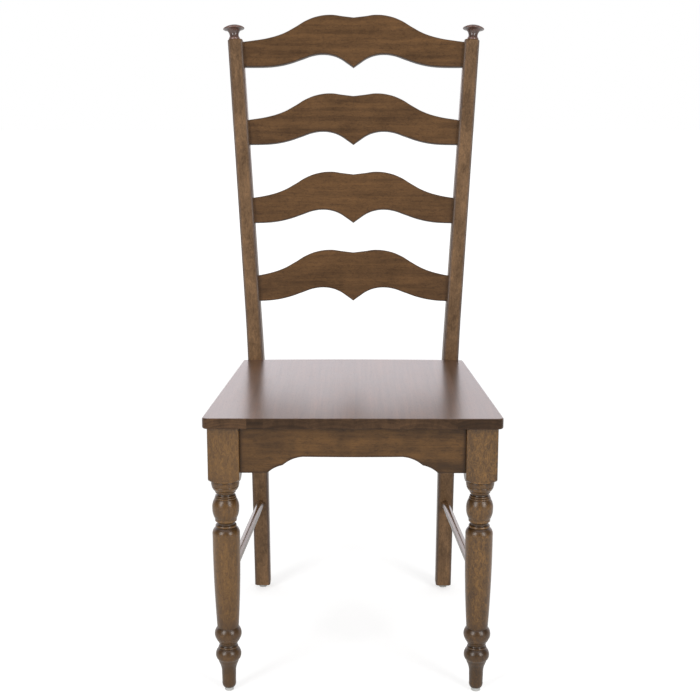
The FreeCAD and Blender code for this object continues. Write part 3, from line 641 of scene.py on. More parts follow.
LEG_TURNING = [
    (36.0, 442.0), (36.0, 366.3), (32.5, 357.8, 23.4, 352.3), (21.6, 351.4),
    (22.1, 347.4, 21.6, 343.2), (20.8, 342.7), (21.3, 341.9), (20.2, 338.9, 16.9, 334.8),
    (16.2, 334.4), (16.1, 332.2), (13.5, 329.8, 14.5, 327.8), (16.0, 326.4, 15.5, 324.8),
    (17.1, 323.3, 16.7, 321.9), (17.3, 321.4), (20.35, 314.4, 21.05, 305.0),
    (20.1, 296.5, 17.7, 290.2), (17.3, 289.8), (17.0, 285.2), (13.7, 281.8, 13.9, 279.6),
    (16.7, 277.0, 15.9, 275.0), (16.5, 274.5), (20.5, 269.6, 21.6, 262.5),
    (20.65, 184.0, 17.2, 107.6), (16.9, 106.8), (21.5, 96.0, 20.2, 89.0), (19.6, 88.5),
    (18.2, 85.0, 15.9, 82.0), (15.3, 81.5), (15.1, 79.5), (13.0, 77.3, 13.6, 75.0),
    (15.7, 73.2, 15.0, 71.3), (15.6, 70.8), (20.4, 60.8, 18.9, 53.6), (17.4, 52.3),
    (16.6, 50.4), (15.3, 46.4), (12.9, 40.2, 11.5, 32.8), (11.0, 12.0), (10.5, 6.4, 9.3, 4.0),
]
LEG_AXIS = (199.5, 34.5)
LEG_HALF_BLOCK = 24.5
# How much darker the front legs are painted against the height: a painted shade towards the floor
# and on the upper turnings, with darker stain at the foot
LEG_SHADE_AND_STAIN = [
    (4.0, 0.34), (40.0, 0.30), (60.0, 0.26), (100.0, 0.22), (112.0, 0.13), (160.0, 0.09),
    (215.0, 0.0), (262.0, 0.0), (276.0, 0.14), (290.0, 0.12), (305.0, 0.05), (318.0, 0.10),
    (345.0, 0.15), (356.0, 0.13), (368.0, 0.0),
]
FINIAL_TURNING = [
    (6.0, -6.0), (6.0, 0.0), (9.8, 0.0), (10.7, 2.6, 9.8, 5.2), (9.2, 5.6),
    (9.1, 12.6, 12.6, 18.3), (15.4, 20.1, 18.8, 20.6), (19.8, 21.7, 19.1, 22.9),
    (9.966, 27.145, 0.6, 28.595),
]
FINIAL_OUTWARD = 2.0
# The stretchers' ends: in the leg's axis, and on the front face of the post at that height
STRETCHER_FRONT_HEIGHT, STRETCHER_REAR_HEIGHT = 184.0, 175.0
STRETCHER_REAR = (176.6, 455.0 + (426.65 - 455.0) * (STRETCHER_REAR_HEIGHT / 440.0))
STRETCHER_START, STRETCHER_IN_POST = 8.0, 10.0
# How the turnings are darkened in their hollows, darkened with a painted shade on shoulders that
# face up, and lightened with a painted highlight on small rings, in millimetres or as a share of
# the light
HOLLOW_REACH, HOLLOW_DEPTH, HOLLOW_MOST = 7.0, 0.14, 0.55
SHOULDER_REACH, SHOULDER_SHADE = 1.2, 0.22
RING_REACH, RING_LEAST, RING_MOST = 2.0, 0.15, 0.28
# A square block's ring: how sharp its corners are and how far points crowd towards them
CORNER_POWER, CORNER_CROWD = 28.0, 1.7
TURNING_SHARP = 28.0


def smooth_over(values, places, reach):
    """The values averaged over their neighbours within a reach."""
    weights = np.exp(-0.5 * ((places[:, None] - places[None, :]) / reach) ** 2)
    return weights @ values / weights.sum(axis=1)


def turning_shade_and_highlight(radius, height):
    """A turning is darker in its hollows, where the radius is under its own average
    over the height nearby, and darker with a painted shade on shoulders that face up. Small rings
    get a painted highlight."""
    even = np.linspace(height.min(), height.max(), 800)
    order = np.argsort(height, kind="stable")
    level = np.interp(even, height[order], radius[order])
    hollow, ring, shoulder = (np.interp(height, even, values) for values in (
        smooth_over(level, even, HOLLOW_REACH), level - smooth_over(level, even, RING_REACH),
        -np.gradient(smooth_over(level, even, SHOULDER_REACH), even)))
    return (np.clip((hollow - radius) * HOLLOW_DEPTH, 0.0, HOLLOW_MOST)
            + SHOULDER_SHADE * np.clip(shoulder, 0.0, 1.0)
            - np.clip(ring - RING_LEAST, 0.0, RING_MOST))


def turned_piece(name, outline, foot, axis, around, half_block=None, seed=(0, 0, 0),
                 stain=None):
    """A lathe turning that stands on a point, held inside a square block if one is given."""
    radius, height = outline.T
    radii = np.repeat(radius[:, None], around, axis=1)
    if half_block:
        quarter = around // 4
        t = (np.arange(around) % quarter) / quarter * 2 - 1
        bent = np.sign(t) * (1 - (1 - np.abs(t)) ** CORNER_CROWD)
        angles = (np.arange(around) // quarter) * (math.pi / 2) + bent * math.pi / 4
        corner = np.abs(np.cos(angles)) ** CORNER_POWER + np.abs(np.sin(angles)) ** CORNER_POWER
        radii = np.minimum(radii, half_block / corner ** (1 / CORNER_POWER))
    else:
        angles = np.arange(around) * (FULL_TURN / around)
    local = np.stack([radii * np.cos(angles), radii * np.sin(angles),
                      np.repeat(height[:, None], around, axis=1)], axis=2)
    turn = np.array(Vector((0, 0, 1)).rotation_difference(Vector(axis)).to_matrix())
    # Unless given, the turning gets darker hollows, a painted shade on its shoulders and painted
    # highlights on its small rings
    if stain is None:
        stain = turning_shade_and_highlight(radius, height)
    return mesh_piece(name, to_world(local @ turn.T + np.array(foot)),
                      local[:, :, [2, 0, 1]] * MM, stain=stain, seed=seed,
                      sharp=TURNING_SHARP, flat_faces=False)


class CHAIR_OT_front_legs(bpy.types.Operator):
    """Make the two turned front legs"""
    bl_idname = "chair.front_legs"
    bl_label = "Front legs"

    def execute(self, context):
        colours = context.scene.chair_colours
        outline = outline_points(LEG_TURNING, 0.55, 6.0)
        radius, height = outline.T
        # The turning's darker hollows, painted shade and painted highlights, combined with the
        # painted shade towards the floor and the darker stain at the foot
        hollow = turning_shade_and_highlight(np.minimum(radius, LEG_HALF_BLOCK), height)
        stain = 1 - (1 - hollow) * (1 - np.interp(height, *zip(*LEG_SHADE_AND_STAIN)))
        for (side, hand), figure, shade in zip(HANDS, (0.16, 0.28), (1.0, 0.87)):
            # Faces looking up are darker, end grain with a painted shade on their tops
            wood = wood_material("Leg wood " + hand, scaled(colours.leg, shade), streaks=0.14,
                                 curl=figure, flecks=figure, veins=figure, blotch=0.20,
                                 pores=0.4, wave=0.008, coat=0.95, coat_rough=0.29,
                                 end_axis=(0, 0, 1))
            foot = (side * LEG_AXIS[0], LEG_AXIS[1], 0.0)
            piece = turned_piece("leg_" + hand, outline, foot, (0, 0, 1), 128, LEG_HALF_BLOCK,
                                 seed=(0.61 * side, 0.2, 0.3), stain=stain)
            carry(piece, "front_leg_" + hand, wood)
        return {"FINISHED"}


class CHAIR_OT_finials(bpy.types.Operator):
    """Make the two turned finials"""
    bl_idname = "chair.finials"
    bl_label = "Finials"

    def execute(self, context):
        colours = context.scene.chair_colours
        # The tops are a little darker, end grain with a painted shade, and carry less lacquer
        wood = wood_material("Finial wood", colours.finial, streaks=0.2, curl=0.08,
                             blotch=0.15, pores=0.3, rough=0.40, coat=1.0, coat_rough=0.2,
                             shine=0.5, end_axis=(0, 0, 1), end_grain_and_top_shade=0.1,
                             end_tone=colours.finial)
        outline = outline_points(FINIAL_TURNING, 0.35, 2.0)
        middle_x, middle_y, _, _ = post_section(POST_TOP)
        for side, hand in HANDS:
            axis = Vector((side * SPLAY, LEAN, 1)).normalized()
            outward = axis.cross(Vector((0, -side, 0))).normalized()
            foot = (np.array((side * middle_x, middle_y, POST_TOP))
                    + np.array(outward) * FINIAL_OUTWARD)
            piece = turned_piece("finial_turned_" + hand, outline, foot, axis, 72,
                                 seed=(0.2 * side, 0.0, 0.0))
            carry(piece, "finial_" + hand, wood)
        return {"FINISHED"}


class CHAIR_OT_stretchers(bpy.types.Operator):
    """Make the two side stretchers"""
    bl_idname = "chair.stretchers"
    bl_label = "Side stretchers"

    def execute(self, context):
        radius = context.scene.chair_sizes.stretcher_radius / MM
        wood = wood_material("Stretcher wood", context.scene.chair_colours.slat, streaks=0.25,
                             curl=0.08, blotch=0.2, pores=0.3, rough=0.26, coat=1.0,
                             coat_rough=0.2, shine=0.5)
        for side, hand in HANDS:
            front = Vector((side * LEG_AXIS[0], LEG_AXIS[1], STRETCHER_FRONT_HEIGHT))
            rear = Vector((side * STRETCHER_REAR[0], STRETCHER_REAR[1], STRETCHER_REAR_HEIGHT))
            way = rear - front
            run = np.linspace(STRETCHER_START, way.length + STRETCHER_IN_POST, 40)
            outline = np.column_stack([np.full(len(run), radius), run])
            piece = turned_piece("stretcher_" + hand, outline, front, way.normalized(), 48,
                                 seed=(0.4 * side, 0.6, 0.1))
            carry(piece, "side_stretcher_" + hand, wood)
        return {"FINISHED"}


# Boards: seat and front apron

SEAT_CORNERS = (10.0, 10.0, 5.0, 5.0)
SEAT_REAR_BOW, SEAT_BOW_MARGIN = 5.7, 13.0
SEAT_EASE = 2.2
APRON_END = 175.4
APRON_LOW, APRON_TOP = 367.3, 441.9
APRON_FRONT, APRON_BACK = 18.0, 38.0
SCALLOP = [(132.3, APRON_LOW), (122.5, 374.6, 108.6, 379.7), (95.4, 388.4, 77.0, 393.2),
           (38.0, 392.85, 0.0, 392.7)]


def eased_board(name, outline, low, high, ease, order, grain_order, seed=(0, 0, 0), steps=4,
                rim=0.0, edge_shade_width=3.0):
    """A board whose outline is closed and runs anticlockwise, with all its rims rounded.
    order picks x, y and z from along the outline's two axes and the thickness, and
    grain_order picks the grain's axes. The eased edge gets a painted shade of the given amount,
    which fades out across a strip of the given width beside it."""
    outline = np.asarray(outline, float)
    before = unit(outline - np.roll(outline, 1, axis=0))
    tangent = unit(before + unit(np.roll(outline, -1, axis=0) - outline))
    normal = np.stack([tangent[:, 1], -tangent[:, 0]], axis=1)
    stretch = 1 / np.maximum(0.5, np.einsum("ij,ij->i", before, tangent))
    rings, grain, stain = [], [], []
    # With a painted shade on the eased edge, a flat ring further in lets it fade out
    profile = [(ease + edge_shade_width, low)] if rim else []
    turns = [math.pi / 2 * i / steps for i in range(steps + 1)]
    profile += [(ease * (1 - math.sin(a)), low + ease * (1 - math.cos(a))) for a in turns]
    profile += [(inset, high + low - w) for inset, w in profile[::-1]]
    for inset, w in profile:
        flat = outline - normal * (inset * stretch)[:, None]
        local = np.column_stack([flat, np.full(len(flat), w)])
        rings.append(local[:, order])
        grain.append(local[:, grain_order] * MM)
        stain.append(0.0 if inset > ease else rim)
    return mesh_piece(name, to_world(rings), grain, stain=stain, seed=seed, sharp=38.0)


def seat_outline(sizes):
    """The seat in plan: straight front and sides, bowed rear edge, rounded corners."""
    half_front, half_rear = sizes.seat_front / MM / 2, sizes.seat_rear / MM / 2
    depth = sizes.seat_depth / MM
    corners = np.array([(-half_front, 0.0), (half_front, 0.0), (half_rear, depth),
                        (-half_rear, depth)])
    points = []
    for i, radius in enumerate(SEAT_CORNERS):
        to_last, to_next = (unit(corners[(i + way) % 4] - corners[i]) for way in (-1, 1))
        half = math.acos(to_last @ to_next) / 2
        centre = corners[i] + unit(to_last + to_next) * radius / math.sin(half)
        start, end = (math.atan2(y, x) for x, y in (
            corners[i] + way * radius / math.tan(half) - centre for way in (to_last, to_next)))
        for k in range(9):
            angle = start + (end - start) % FULL_TURN * k / 8
            points.append(centre + radius * np.array([math.cos(angle), math.sin(angle)]))
        if i == 2:
            span = half_rear - SEAT_BOW_MARGIN
            points += [(x, depth + SEAT_REAR_BOW * (1 - (x / half_rear) ** 2))
                       for x in np.linspace(span, -span, 39)]
    return np.array(points)


class CHAIR_OT_seat(bpy.types.Operator):
    """Make the glued-up seat panel"""
    bl_idname = "chair.seat"
    bl_label = "Seat"

    def execute(self, context):
        colours, sizes = context.scene.chair_colours, context.scene.chair_sizes
        wood = wood_material("Panel wood", colours.seat, streaks=0.30, curl=0.08, blotch=0.25,
                             flecks=0.1, pores=0.4, staves=True, rough=0.30, coat=1.0,
                             coat_rough=0.24, end_axis=(0, 1, 0), end_grain_and_top_shade=0.05,
                             end_tone=colours.seat_edge, shine=0.3)
        top = sizes.seat_height / MM - FLOOR_DROP
        piece = eased_board("seat_board", seat_outline(sizes), top - sizes.seat_thickness / MM,
                            top, SEAT_EASE, [0, 1, 2], [1, 0, 2])
        carry(piece, "seat_panel", wood)
        return {"FINISHED"}


class CHAIR_OT_front_apron(bpy.types.Operator):
    """Make the scalloped front apron"""
    bl_idname = "chair.front_apron"
    bl_label = "Front apron"

    def execute(self, context):
        colours = context.scene.chair_colours
        wood = wood_material("Apron wood", colours.apron, streaks=0.34, curl=0.12,
                             flecks=0.15, blotch=0.42, pores=0.35, wave=0.008,
                             coat=colours.lacquer)
        right = [(APRON_END, APRON_LOW), *outline_points(SCALLOP, 1.5)]
        left = [(-x, z) for x, z in right[-2::-1]]
        outline = right + left + [(-APRON_END, APRON_TOP), (APRON_END, APRON_TOP)]
        # The apron's eased edges get a painted shade
        piece = eased_board("apron_front", outline[::-1], APRON_FRONT, APRON_BACK, 1.3,
                            [0, 2, 1], [0, 1, 2], seed=(0.9, 0.35, 0.1), steps=3, rim=0.3)
        carry(piece, "front_apron", wood)
        return {"FINISHED"}


# Geometry node trees: slats and screws

def new_tree(name, inputs):
    """A geometry node tree and its named inputs, each given as (name, kind, default)."""
    tree = bpy.data.node_groups.new(name, "GeometryNodeTree")
    tree.is_modifier = True
    face = tree.interface
    face.new_socket("Geometry", in_out="INPUT", socket_type="NodeSocketGeometry")
    for label, kind, default in inputs:
        socket = face.new_socket(label, in_out="INPUT", socket_type="NodeSocket" + kind)
        if default is not None:
            socket.default_value = default
    face.new_socket("Geometry", in_out="OUTPUT", socket_type="NodeSocketGeometry")
    first = add_node(tree, "NodeGroupInput")
    return tree, {socket.name: Wire(socket) for socket in first.socket.node.outputs}


def end_tree(geometry, material):
    """Ends a tree in whole geometry of one material."""
    tree = geometry.tree
    whole = add_node(tree, "GeometryNodeRealizeInstances", None, {"Geometry": geometry})
    painted = add_node(tree, "GeometryNodeSetMaterial", None,
                       {"Geometry": whole, "Material": material})
    add_node(tree, "NodeGroupOutput", None, {0: painted})
    return tree


def from_tree(name, tree, values, points=None):
    """Runs a geometry node tree once, on the mesh of points if one is given, and keeps its
    result as a plain mesh."""
    points = points or bpy.data.meshes.new(name + "_points")
    carrier = add_object(name + "_carrier", points)
    modifier = carrier.modifiers.new("Shape", "NODES")
    modifier.node_group = tree
    for item in tree.interface.items_tree:
        if item.item_type == "SOCKET" and item.in_out == "INPUT" and item.name in values:
            modifier[item.identifier] = values[item.name]
    graph = bpy.context.evaluated_depsgraph_get()
    mesh = bpy.data.meshes.new_from_object(carrier.evaluated_get(graph))
    mesh.name = name
    bpy.data.objects.remove(carrier)
    return mesh


# A slat's edges, right half from the middle out: (across, up from the crest)
SLAT_TOP_EDGE = [
    (0.0, -5.0), (21.0, -2.5), (42.0, 0.0), (66.0, -2.8), (88.0, -10.9), (108.0, -23.0),
    (132.0, -35.9), (158.0, -44.3), (186.0, -49.6), (222.0, -54.8),
]
SLAT_LOWER_EDGE = [
    (0.0, -94.8), (12.0, -86.2), (26.0, -77.2), (40.0, -72.1), (56.0, -70.2), (74.0, -72.3),
    (96.0, -79.8), (120.0, -88.1), (144.0, -93.4), (168.0, -95.6), (222.0, -96.4),
]
SLAT_SPAN, SLAT_DROP = 222.0, 110.0
SLAT_COUNT = 4
SLAT_LOWEST_CREST = 205.4
SLAT_SHOULDER_DROP = 79.0
SLAT_IN_POST = 6.0
SLAT_TOP_EXTRA = 2.1


def slat_tree(material):
    """Geometry nodes for one ladder slat: a rounded bar drawn along X, shaped to the scalloped
    outline, bowed, and leant back with the posts."""
    tree, given = new_tree("Ladder slat", [(label, "Float", default) for label, default in (
        ("Half length", 0.19), ("Crest", 0.2), ("Thickness", 0.014), ("Bow", 0.012),
        ("Edge", 0.0016), ("Rake", RAKE), ("Setback", 0.008), ("Shift", 0.0),
        ("Deeper", 0.0))])
    blank = 0.060
    half = given["Half length"]
    line = add_node(tree, "GeometryNodeCurvePrimitiveLine", None, {
        "Start": vector(tree, half * -1.0, 0.0, 0.0), "End": vector(tree, half, 0.0, 0.0)})
    line = add_node(tree, "GeometryNodeResampleCurve", None, {"Curve": line, "Count": 241})
    section = add_node(tree, "GeometryNodeCurvePrimitiveQuadrilateral", None,
                       {"Width": given["Thickness"], "Height": blank})
    section = add_node(tree, "GeometryNodeFilletCurve", {"mode": "POLY"},
                       {"Curve": section, "Count": 4, "Radius": given["Edge"]})
    bar = add_node(tree, "GeometryNodeCurveToMesh", None,
                   {"Curve": line, "Profile Curve": section, "Fill Caps": True})
    x, y, z = parts_of(add_node(tree, "GeometryNodeInputPosition"))
    edges = []
    for points in (SLAT_TOP_EDGE, SLAT_LOWER_EDGE):
        curve = [(px / SLAT_SPAN, 1 + pz / SLAT_DROP) for px, pz in points]
        value = add_node(tree, "ShaderNodeFloatCurve", {"curve": curve},
                         {"Factor": 1.0, "Value": abs(x) / (SLAT_SPAN * MM)})
        edges.append((value - 1.0) * (SLAT_DROP * MM))
    top, low = edges[0], edges[1] - given["Deeper"]
    middle, half_height = (top + low) * 0.5, (top - low) * 0.5
    from_middle = z.sign() * (half_height - blank / 2) + z
    up = given["Crest"] + middle + from_middle
    bend = given["Bow"] * (1.0 - (x / half) ** 2.0)
    behind = given["Setback"] + given["Thickness"] * 0.5 + y + bend
    # The grain, and each point's place between the middle and the edges for the painted edge
    # shade
    for name, value in (
            ("grain", vector(tree, x + given["Shift"], up, behind)),
            ("rim", vector(tree, from_middle / half_height, 1.0, half_height))):
        bar = add_node(tree, "GeometryNodeStoreNamedAttribute",
                       {"data_type": "FLOAT_VECTOR", "domain": "POINT"},
                       {"Geometry": bar, "Name": name, "Value": value})
    sine, cosine = given["Rake"].sine(), given["Rake"].cosine()
    place = vector(tree, x,
                   up * sine + behind * cosine + (FRONT_EDGE + BACK_AT_SEAT * MM),
                   up * cosine - behind * sine + (SEAT_TOP + FLOOR_DROP) * MM)
    placed = add_node(tree, "GeometryNodeSetPosition", None,
                      {"Geometry": bar, "Position": place})
    return end_tree(placed, material)


class CHAIR_OT_ladder_slats(bpy.types.Operator):
    """Make the four ladder slats"""
    bl_idname = "chair.ladder_slats"
    bl_label = "Ladder slats"

    def execute(self, context):
        colours, sizes = context.scene.chair_colours, context.scene.chair_sizes
        # The slats get a dark painted shade along their edges
        wood = wood_material("Slat wood", colours.slat, streaks=0.32, curl=0.14, blotch=0.20,
                             flecks=0.14, pores=0.35, wave=0.012, coat=colours.lacquer,
                             rim=0.70, edge_shade_width=0.0032, edge_shade_tone=(0.042, 0.024, 0.016))
        tree = slat_tree(wood)
        for index in range(SLAT_COUNT):
            number = str(index + 1)
            crest = SLAT_LOWEST_CREST * MM + sizes.slat_pitch * index
            height = SEAT_TOP + (crest / MM - SLAT_SHOULDER_DROP) * math.cos(RAKE)
            inner = float(knee(height, *POST_INNER))
            mesh = from_tree("slat_" + number, tree, {
                "Half length": (inner + SLAT_IN_POST) * MM, "Crest": crest,
                "Thickness": sizes.slat_thickness, "Bow": sizes.slat_bow,
                "Rake": RAKE, "Shift": 0.7 * index,
                "Deeper": SLAT_TOP_EXTRA * MM if index == SLAT_COUNT - 1 else 0.0})
            carry(shown_piece("slat_" + number, mesh), "ladder_slat_" + number,
                  wood)
        return {"FINISHED"}


SCREW_LENGTH, SCREW_POINT, SCREW_THREAD, SCREW_PITCH, SCREW_HEAD = 32.0, 4.0, 21.0, 2.0, 2.6
SCREW_TIP, SCREW_RADIUS, SCREW_HEAD_RADIUS = 0.4, 2.0, 4.0
RECESS_DEPTH = 1.9
# A quarter of the cross recess, and of every ring so that they match: angle and radius
RECESS = ((-13.3, 1.95), (0.0, 1.90), (13.3, 1.95), (22.2, 1.19), (45.0, 0.64), (67.8, 1.19))
# The right half's screws: the tip's place in the frame, in millimetres, and the way to the head
SIDE_IN = (-0.99726, -0.07392, 0.0)
SCREWS = {
    "corner_block_screws": [
        ((148.129, -262.107, 425.3), (0.0, 1.0, 0.0)), ((209.002, -201.417, 425.3), SIDE_IN),
        ((137.123, 157.893, 425.3), (0.0, -1.0, 0.0)), ((185.95, 109.587, 425.3), SIDE_IN),
    ],
    "seat_screws": [
        ((163.529, -217.778, 455.3), (0.0, 0.0, -1.0)),
        ((152.523, 124.026, 455.3), (0.0, 0.0, -1.0)),
    ],
}


def screw_rings():
    """A countersunk screw along +Z from its tip: a thread with a pointed end, a plain neck,
    and a head with a cross recess. Its widest lines are those of the construction."""
    angles = np.radians([degrees + 90 * quarter for quarter in range(4) for degrees, _ in RECESS])
    cross = np.array([radius for _, radius in RECESS] * 4)
    rings = []

    def ring(radius, height):
        radius = np.broadcast_to(radius, angles.shape)
        rings.append(np.stack([radius * np.cos(angles), radius * np.sin(angles),
                               np.full(angles.shape, height)], axis=1))

    for height in np.arange(0.0, SCREW_THREAD, SCREW_PITCH / 5):
        full = np.interp(height, (0.0, SCREW_POINT), (SCREW_TIP, SCREW_RADIUS))
        depth = 0.32 * full * np.interp(height, (SCREW_THREAD - 2.0, SCREW_THREAD), (1.0, 0.1))
        turn = (height / SCREW_PITCH - angles / FULL_TURN) % 1.0
        ridge = np.clip(1.3 - np.abs(turn - 0.5) * 4.0, 0.0, 1.0)
        ring(full - depth * (1.0 - ridge), height)
    for radius, height in (
            (SCREW_RADIUS * 0.97, SCREW_THREAD), (SCREW_RADIUS * 0.97, SCREW_LENGTH - SCREW_HEAD),
            (SCREW_HEAD_RADIUS * 0.97, SCREW_LENGTH - 0.25),
            (SCREW_HEAD_RADIUS * 0.96, SCREW_LENGTH - 0.02),
            (SCREW_HEAD_RADIUS * 0.86, SCREW_LENGTH), (cross, SCREW_LENGTH),
            (cross * 0.62, SCREW_LENGTH - RECESS_DEPTH)):
        ring(radius, height)
    return np.array(rings) * MM


def screw_tree(material):
    """Geometry nodes that set a screw at each point of a mesh, along the point's aim and
    turned about it by chance."""
    tree, given = new_tree("Wood screws", (("Screw", "Object", None), ("Turn seed", "Int", None)))
    screw = add_node(tree, "GeometryNodeObjectInfo", None,
                     {"Object": given["Screw"], "As Instance": True}, output="Geometry")
    aim = add_node(tree, "GeometryNodeInputNamedAttribute", {"data_type": "FLOAT_VECTOR"},
                   {"Name": "aim"})
    along = add_node(tree, "FunctionNodeAlignRotationToVector", {"axis": "Z"}, {"Vector": aim})
    chance = add_node(tree, "FunctionNodeRandomValue", {"data_type": "FLOAT"},
                      {"Min": 0.0, "Max": math.pi, "Seed": given["Turn seed"]}, output=1)
    spin = add_node(tree, "FunctionNodeAxisAngleToRotation", None,
                    {"Axis": (0.0, 0.0, 1.0), "Angle": chance})
    turn = add_node(tree, "FunctionNodeRotateRotation", {"rotation_space": "LOCAL"},
                    {"Rotation": along, "Rotate By": spin})
    placed = add_node(tree, "GeometryNodeInstanceOnPoints", None,
                      {"Points": given["Geometry"], "Instance": screw, "Rotation": turn})
    return end_tree(placed, material)


class CHAIR_OT_screws(bpy.types.Operator):
    """Make the screws of the corner blocks and of the seat"""
    bl_idname = "chair.screws"
    bl_label = "Screws"

    def execute(self, context):
        steel = plated_steel()
        tree = screw_tree(steel)
        model = add_object("screw_model", skin("screw_model", screw_rings()))
        for seed, (node, places) in enumerate(SCREWS.items(), 3):
            tips, aims = ([(side * way[i][0], *way[i][1:]) for side, _ in HANDS
                           for way in places] for i in (0, 1))
            points = bpy.data.meshes.new(node + "_points")
            points.from_pydata((np.array(tips) * MM).tolist(), [], [])
            store(points, "aim", aims)
            mesh = from_tree(node, tree, {"Screw": model, "Turn seed": seed}, points)
            piece = shown_piece(node.replace("screws", "screw_set"), mesh, flat_faces=False)
            carry(piece, node, steel)
        bpy.data.objects.remove(model)
        return {"FINISHED"}


# Construction meshes that stay

class CHAIR_OT_inner_parts(bpy.types.Operator):
    """Finish the pieces that keep their construction meshes"""
    bl_idname = "chair.inner_parts"
    bl_label = "Inner parts"

    def execute(self, context):
        colours = context.scene.chair_colours
        bare = wood_material("Bare wood", colours.bare, (0, 0, math.pi / 4), streaks=0.25,
                             rough=0.6, coat=0.0)
        finishes = {
            "side_apron": wood_material("Side rail wood", colours.apron, (0, 0, math.pi / 2),
                                        streaks=0.4, coat=colours.lacquer),
            "rear_apron": wood_material("Rear rail wood", colours.apron, (0, 0, 0),
                                        streaks=0.4, coat=colours.lacquer),
            "corner_block": bare, "apron_dowels": bare, "glide_nails": plated_steel(),
            "glide": worn_material("Glide plastic", (0.55, 0.55, 0.53), 0.45, 0.0),
        }
        for name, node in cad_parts.items():
            if not node.hide_render:
                start = next(start for start in finishes if name.startswith(start))
                node.data.materials.clear()
                node.data.materials.append(finishes[start])
        return {"FINISHED"}


# Stage

FLOOR_HALF = 30
FLOOR_TONES = (0.60, 0.64)
LAMP_PLACE, LAMP_AIM, LAMP_SIZE = (1.9, -2.4, 1.7), (0, 0, 0.5), (1.1, 2.0)
SENSOR_WIDTH = 36.0
CAMERA_ASIDE, CAMERA_ROLL, CAMERA_PAN = 0.00342, -0.00048, 0.00418


def soft_lamp(name, place, power, piece, state):
    """A softbox that lights everything but the piece (state EXCLUDE), or else the piece alone
    (state INCLUDE), which it then lights without a glare."""
    lamp = bpy.data.lights.new(name, "AREA")
    lamp.shape = "RECTANGLE"
    lamp.size, lamp.size_y = LAMP_SIZE
    lamp.energy = power
    lit = add_object(name, lamp)
    lit.location = place
    lit.rotation_euler = (Vector(LAMP_AIM) - Vector(place)).to_track_quat("-Z", "Y").to_euler()
    lit.visible_glossy = state == "EXCLUDE"
    reach = bpy.data.collections.new(name + " reach")
    reach.objects.link(piece)
    reach.collection_objects[0].light_linking.link_state = state
    lit.light_linking.receiver_collection = reach


def studio_floor(settings):
    """A pale floor that glows white to the camera, keeps the chair's shadow, and is clear
    when it is seen from below."""
    corners = [(x * FLOOR_HALF, y * FLOOR_HALF, 0)
               for x, y in ((-1, -1), (1, -1), (1, 1), (-1, 1))]
    mesh = bpy.data.meshes.new("studio_floor")
    mesh.from_pydata(corners, [], [(0, 1, 2, 3)])
    floor = add_object("studio_floor", mesh)
    material, tree = new_material("Studio floor")
    camera, glossy, through = ray_kinds(tree)
    seen = camera.most(glossy * 0.25).most(through)
    place = object_place(tree)
    dark, light = (rgba((tone,) * 3) for tone in FLOOR_TONES)
    far = add_node(tree, "ShaderNodeVectorMath", {"operation": "LENGTH"}, {0: place},
                   output="Value")
    glow = far.step(0.9, 5.0, settings.floor_near, settings.floor_far)
    shader = add_node(tree, "ShaderNodeBsdfPrincipled", None, {
        "Base Color": mix_colour(noise(place, 3.0, 2.0), dark, light), "Roughness": 0.6,
        "Specular IOR Level": 0.0, "Emission Strength": 1.0,
        "Emission Color": mix_colour(seen * glow, (0, 0, 0, 1), (1, 1, 1, 1))})
    clear = add_node(tree, "ShaderNodeBsdfTransparent")
    below = add_node(tree, "ShaderNodeNewGeometry", output="Backfacing")
    shader = add_node(tree, "ShaderNodeMixShader", None, {0: below, 1: shader, 2: clear})
    add_node(tree, "ShaderNodeOutputMaterial", None, {"Surface": shader})
    floor.data.materials.append(material)
    return floor


def ray_kinds(tree):
    """Whether a ray comes from the camera, is a reflection, or has passed through glass."""
    rays = add_node(tree, "ShaderNodeLightPath").socket.node.outputs
    return [Wire(rays["Is %s Ray" % kind]) for kind in ("Camera", "Glossy", "Transmission")]


def studio_world(settings):
    """White to the camera, a soft even light on the wood, and in reflections a pale backdrop
    with a darker room in front of it."""
    world = bpy.data.worlds.new("Studio surround")
    world.use_nodes = True
    tree = world.node_tree
    tree.nodes.clear()
    camera, glossy, through = ray_kinds(tree)
    clear = camera.most(through)
    side, back, up = parts_of(add_node(tree, "ShaderNodeTexCoord", output="Generated"))
    behind = back.step(0.15, 0.75, settings.room, settings.backdrop)
    behind = behind * side.step(-0.16, 0.04, 1.15, 1.0)
    behind = behind.most(up.step(0.70, 0.92, 0.0, settings.overhead))
    above = up.step(0.1, 0.9, settings.sky, settings.ceiling)
    above = above * (1.0 + back.step(-0.1, 0.7, 0.0, settings.light_behind))
    strength = clear + (1.0 - clear) * (glossy * behind + (1.0 - glossy) * above)
    tint = mix_colour(glossy * (1.0 - clear), (1, 1, 1, 1), rgba(settings.backdrop_tint))
    background = add_node(tree, "ShaderNodeBackground", None,
                          {"Color": tint, "Strength": strength})
    add_node(tree, "ShaderNodeOutputWorld", None, {"Surface": background})
    return world


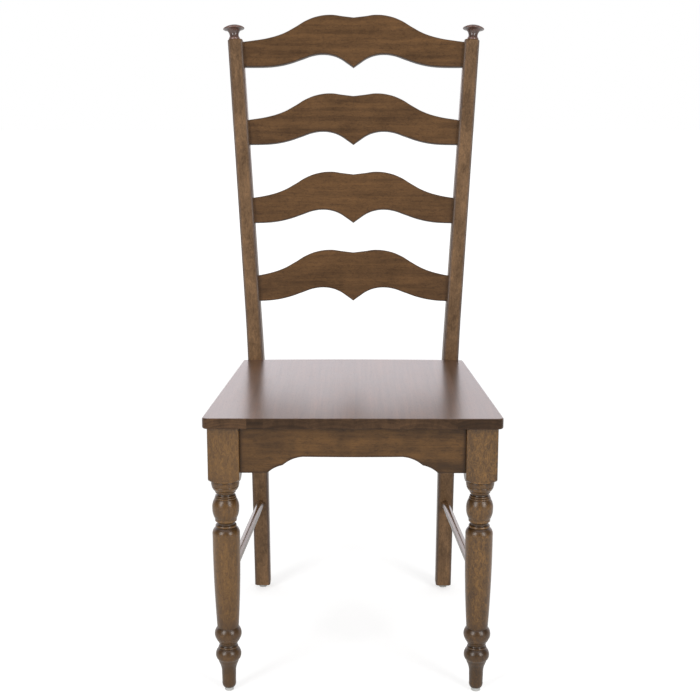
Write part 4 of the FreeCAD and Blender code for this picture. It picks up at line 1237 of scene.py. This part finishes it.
class CHAIR_OT_stage(bpy.types.Operator):
    """Set up the floor, the lamps and the camera"""
    bl_idname = "chair.stage"
    bl_label = "Stage"

    def execute(self, context):
        scene = context.scene
        settings = scene.chair_stage
        floor = studio_floor(settings)
        scene.world = studio_world(settings)
        seat = bpy.data.objects["seat_board"]
        for side, hand in HANDS:
            for use, state in ((" softbox", "EXCLUDE"), (" seat light", "INCLUDE")):
                soft_lamp(hand.capitalize() + use, (side * LAMP_PLACE[0], *LAMP_PLACE[1:]),
                          settings.lamp_power, seat, state)
        camera = bpy.data.cameras.new("Camera")
        camera.lens = settings.lens
        camera.sensor_width = SENSOR_WIDTH
        view = add_object("Camera", camera)
        view.location = (CAMERA_ASIDE, FRONT_EDGE - settings.camera_distance,
                         settings.camera_height)
        view.rotation_euler = (math.pi / 2 - settings.camera_pitch, CAMERA_ROLL, CAMERA_PAN)
        scene.camera = view
        scene.view_settings.view_transform = "Standard"
        return {"FINISHED"}


class CHAIR_PT_panel(bpy.types.Panel):
    """The chair's settings and steps"""
    bl_label = "Ladderback chair"
    bl_idname = "CHAIR_PT_panel"
    bl_space_type = "VIEW_3D"
    bl_region_type = "UI"
    bl_category = "Ladderback"

    def draw(self, context):
        for name, group in GROUPS:
            box = self.layout.box()
            for setting in group.__annotations__:
                box.prop(getattr(context.scene, name), setting)
        for step in STEPS:
            self.layout.operator(step.bl_idname)


GROUPS = (
    ("chair_sizes", ChairSizes), ("chair_colours", ChairColours), ("chair_stage", StageSettings),
)
STEPS = (
    CHAIR_OT_back_posts, CHAIR_OT_ladder_slats, CHAIR_OT_finials, CHAIR_OT_front_legs,
    CHAIR_OT_seat, CHAIR_OT_front_apron, CHAIR_OT_stretchers, CHAIR_OT_screws,
    CHAIR_OT_inner_parts, CHAIR_OT_stage,
)


def register():
    for name, group in GROUPS:
        bpy.utils.register_class(group)
        setattr(bpy.types.Scene, name, PointerProperty(type=group))
    for step in STEPS:
        bpy.utils.register_class(step)
    bpy.utils.register_class(CHAIR_PT_panel)


def unregister():
    bpy.utils.unregister_class(CHAIR_PT_panel)
    for step in reversed(STEPS):
        bpy.utils.unregister_class(step)
    for name, group in reversed(GROUPS):
        delattr(bpy.types.Scene, name)
        bpy.utils.unregister_class(group)


def main():
    register()
    for step in STEPS:
        family, name = step.bl_idname.split(".")
        getattr(getattr(bpy.ops, family), name)()


if __name__ == "__main__":
    main()
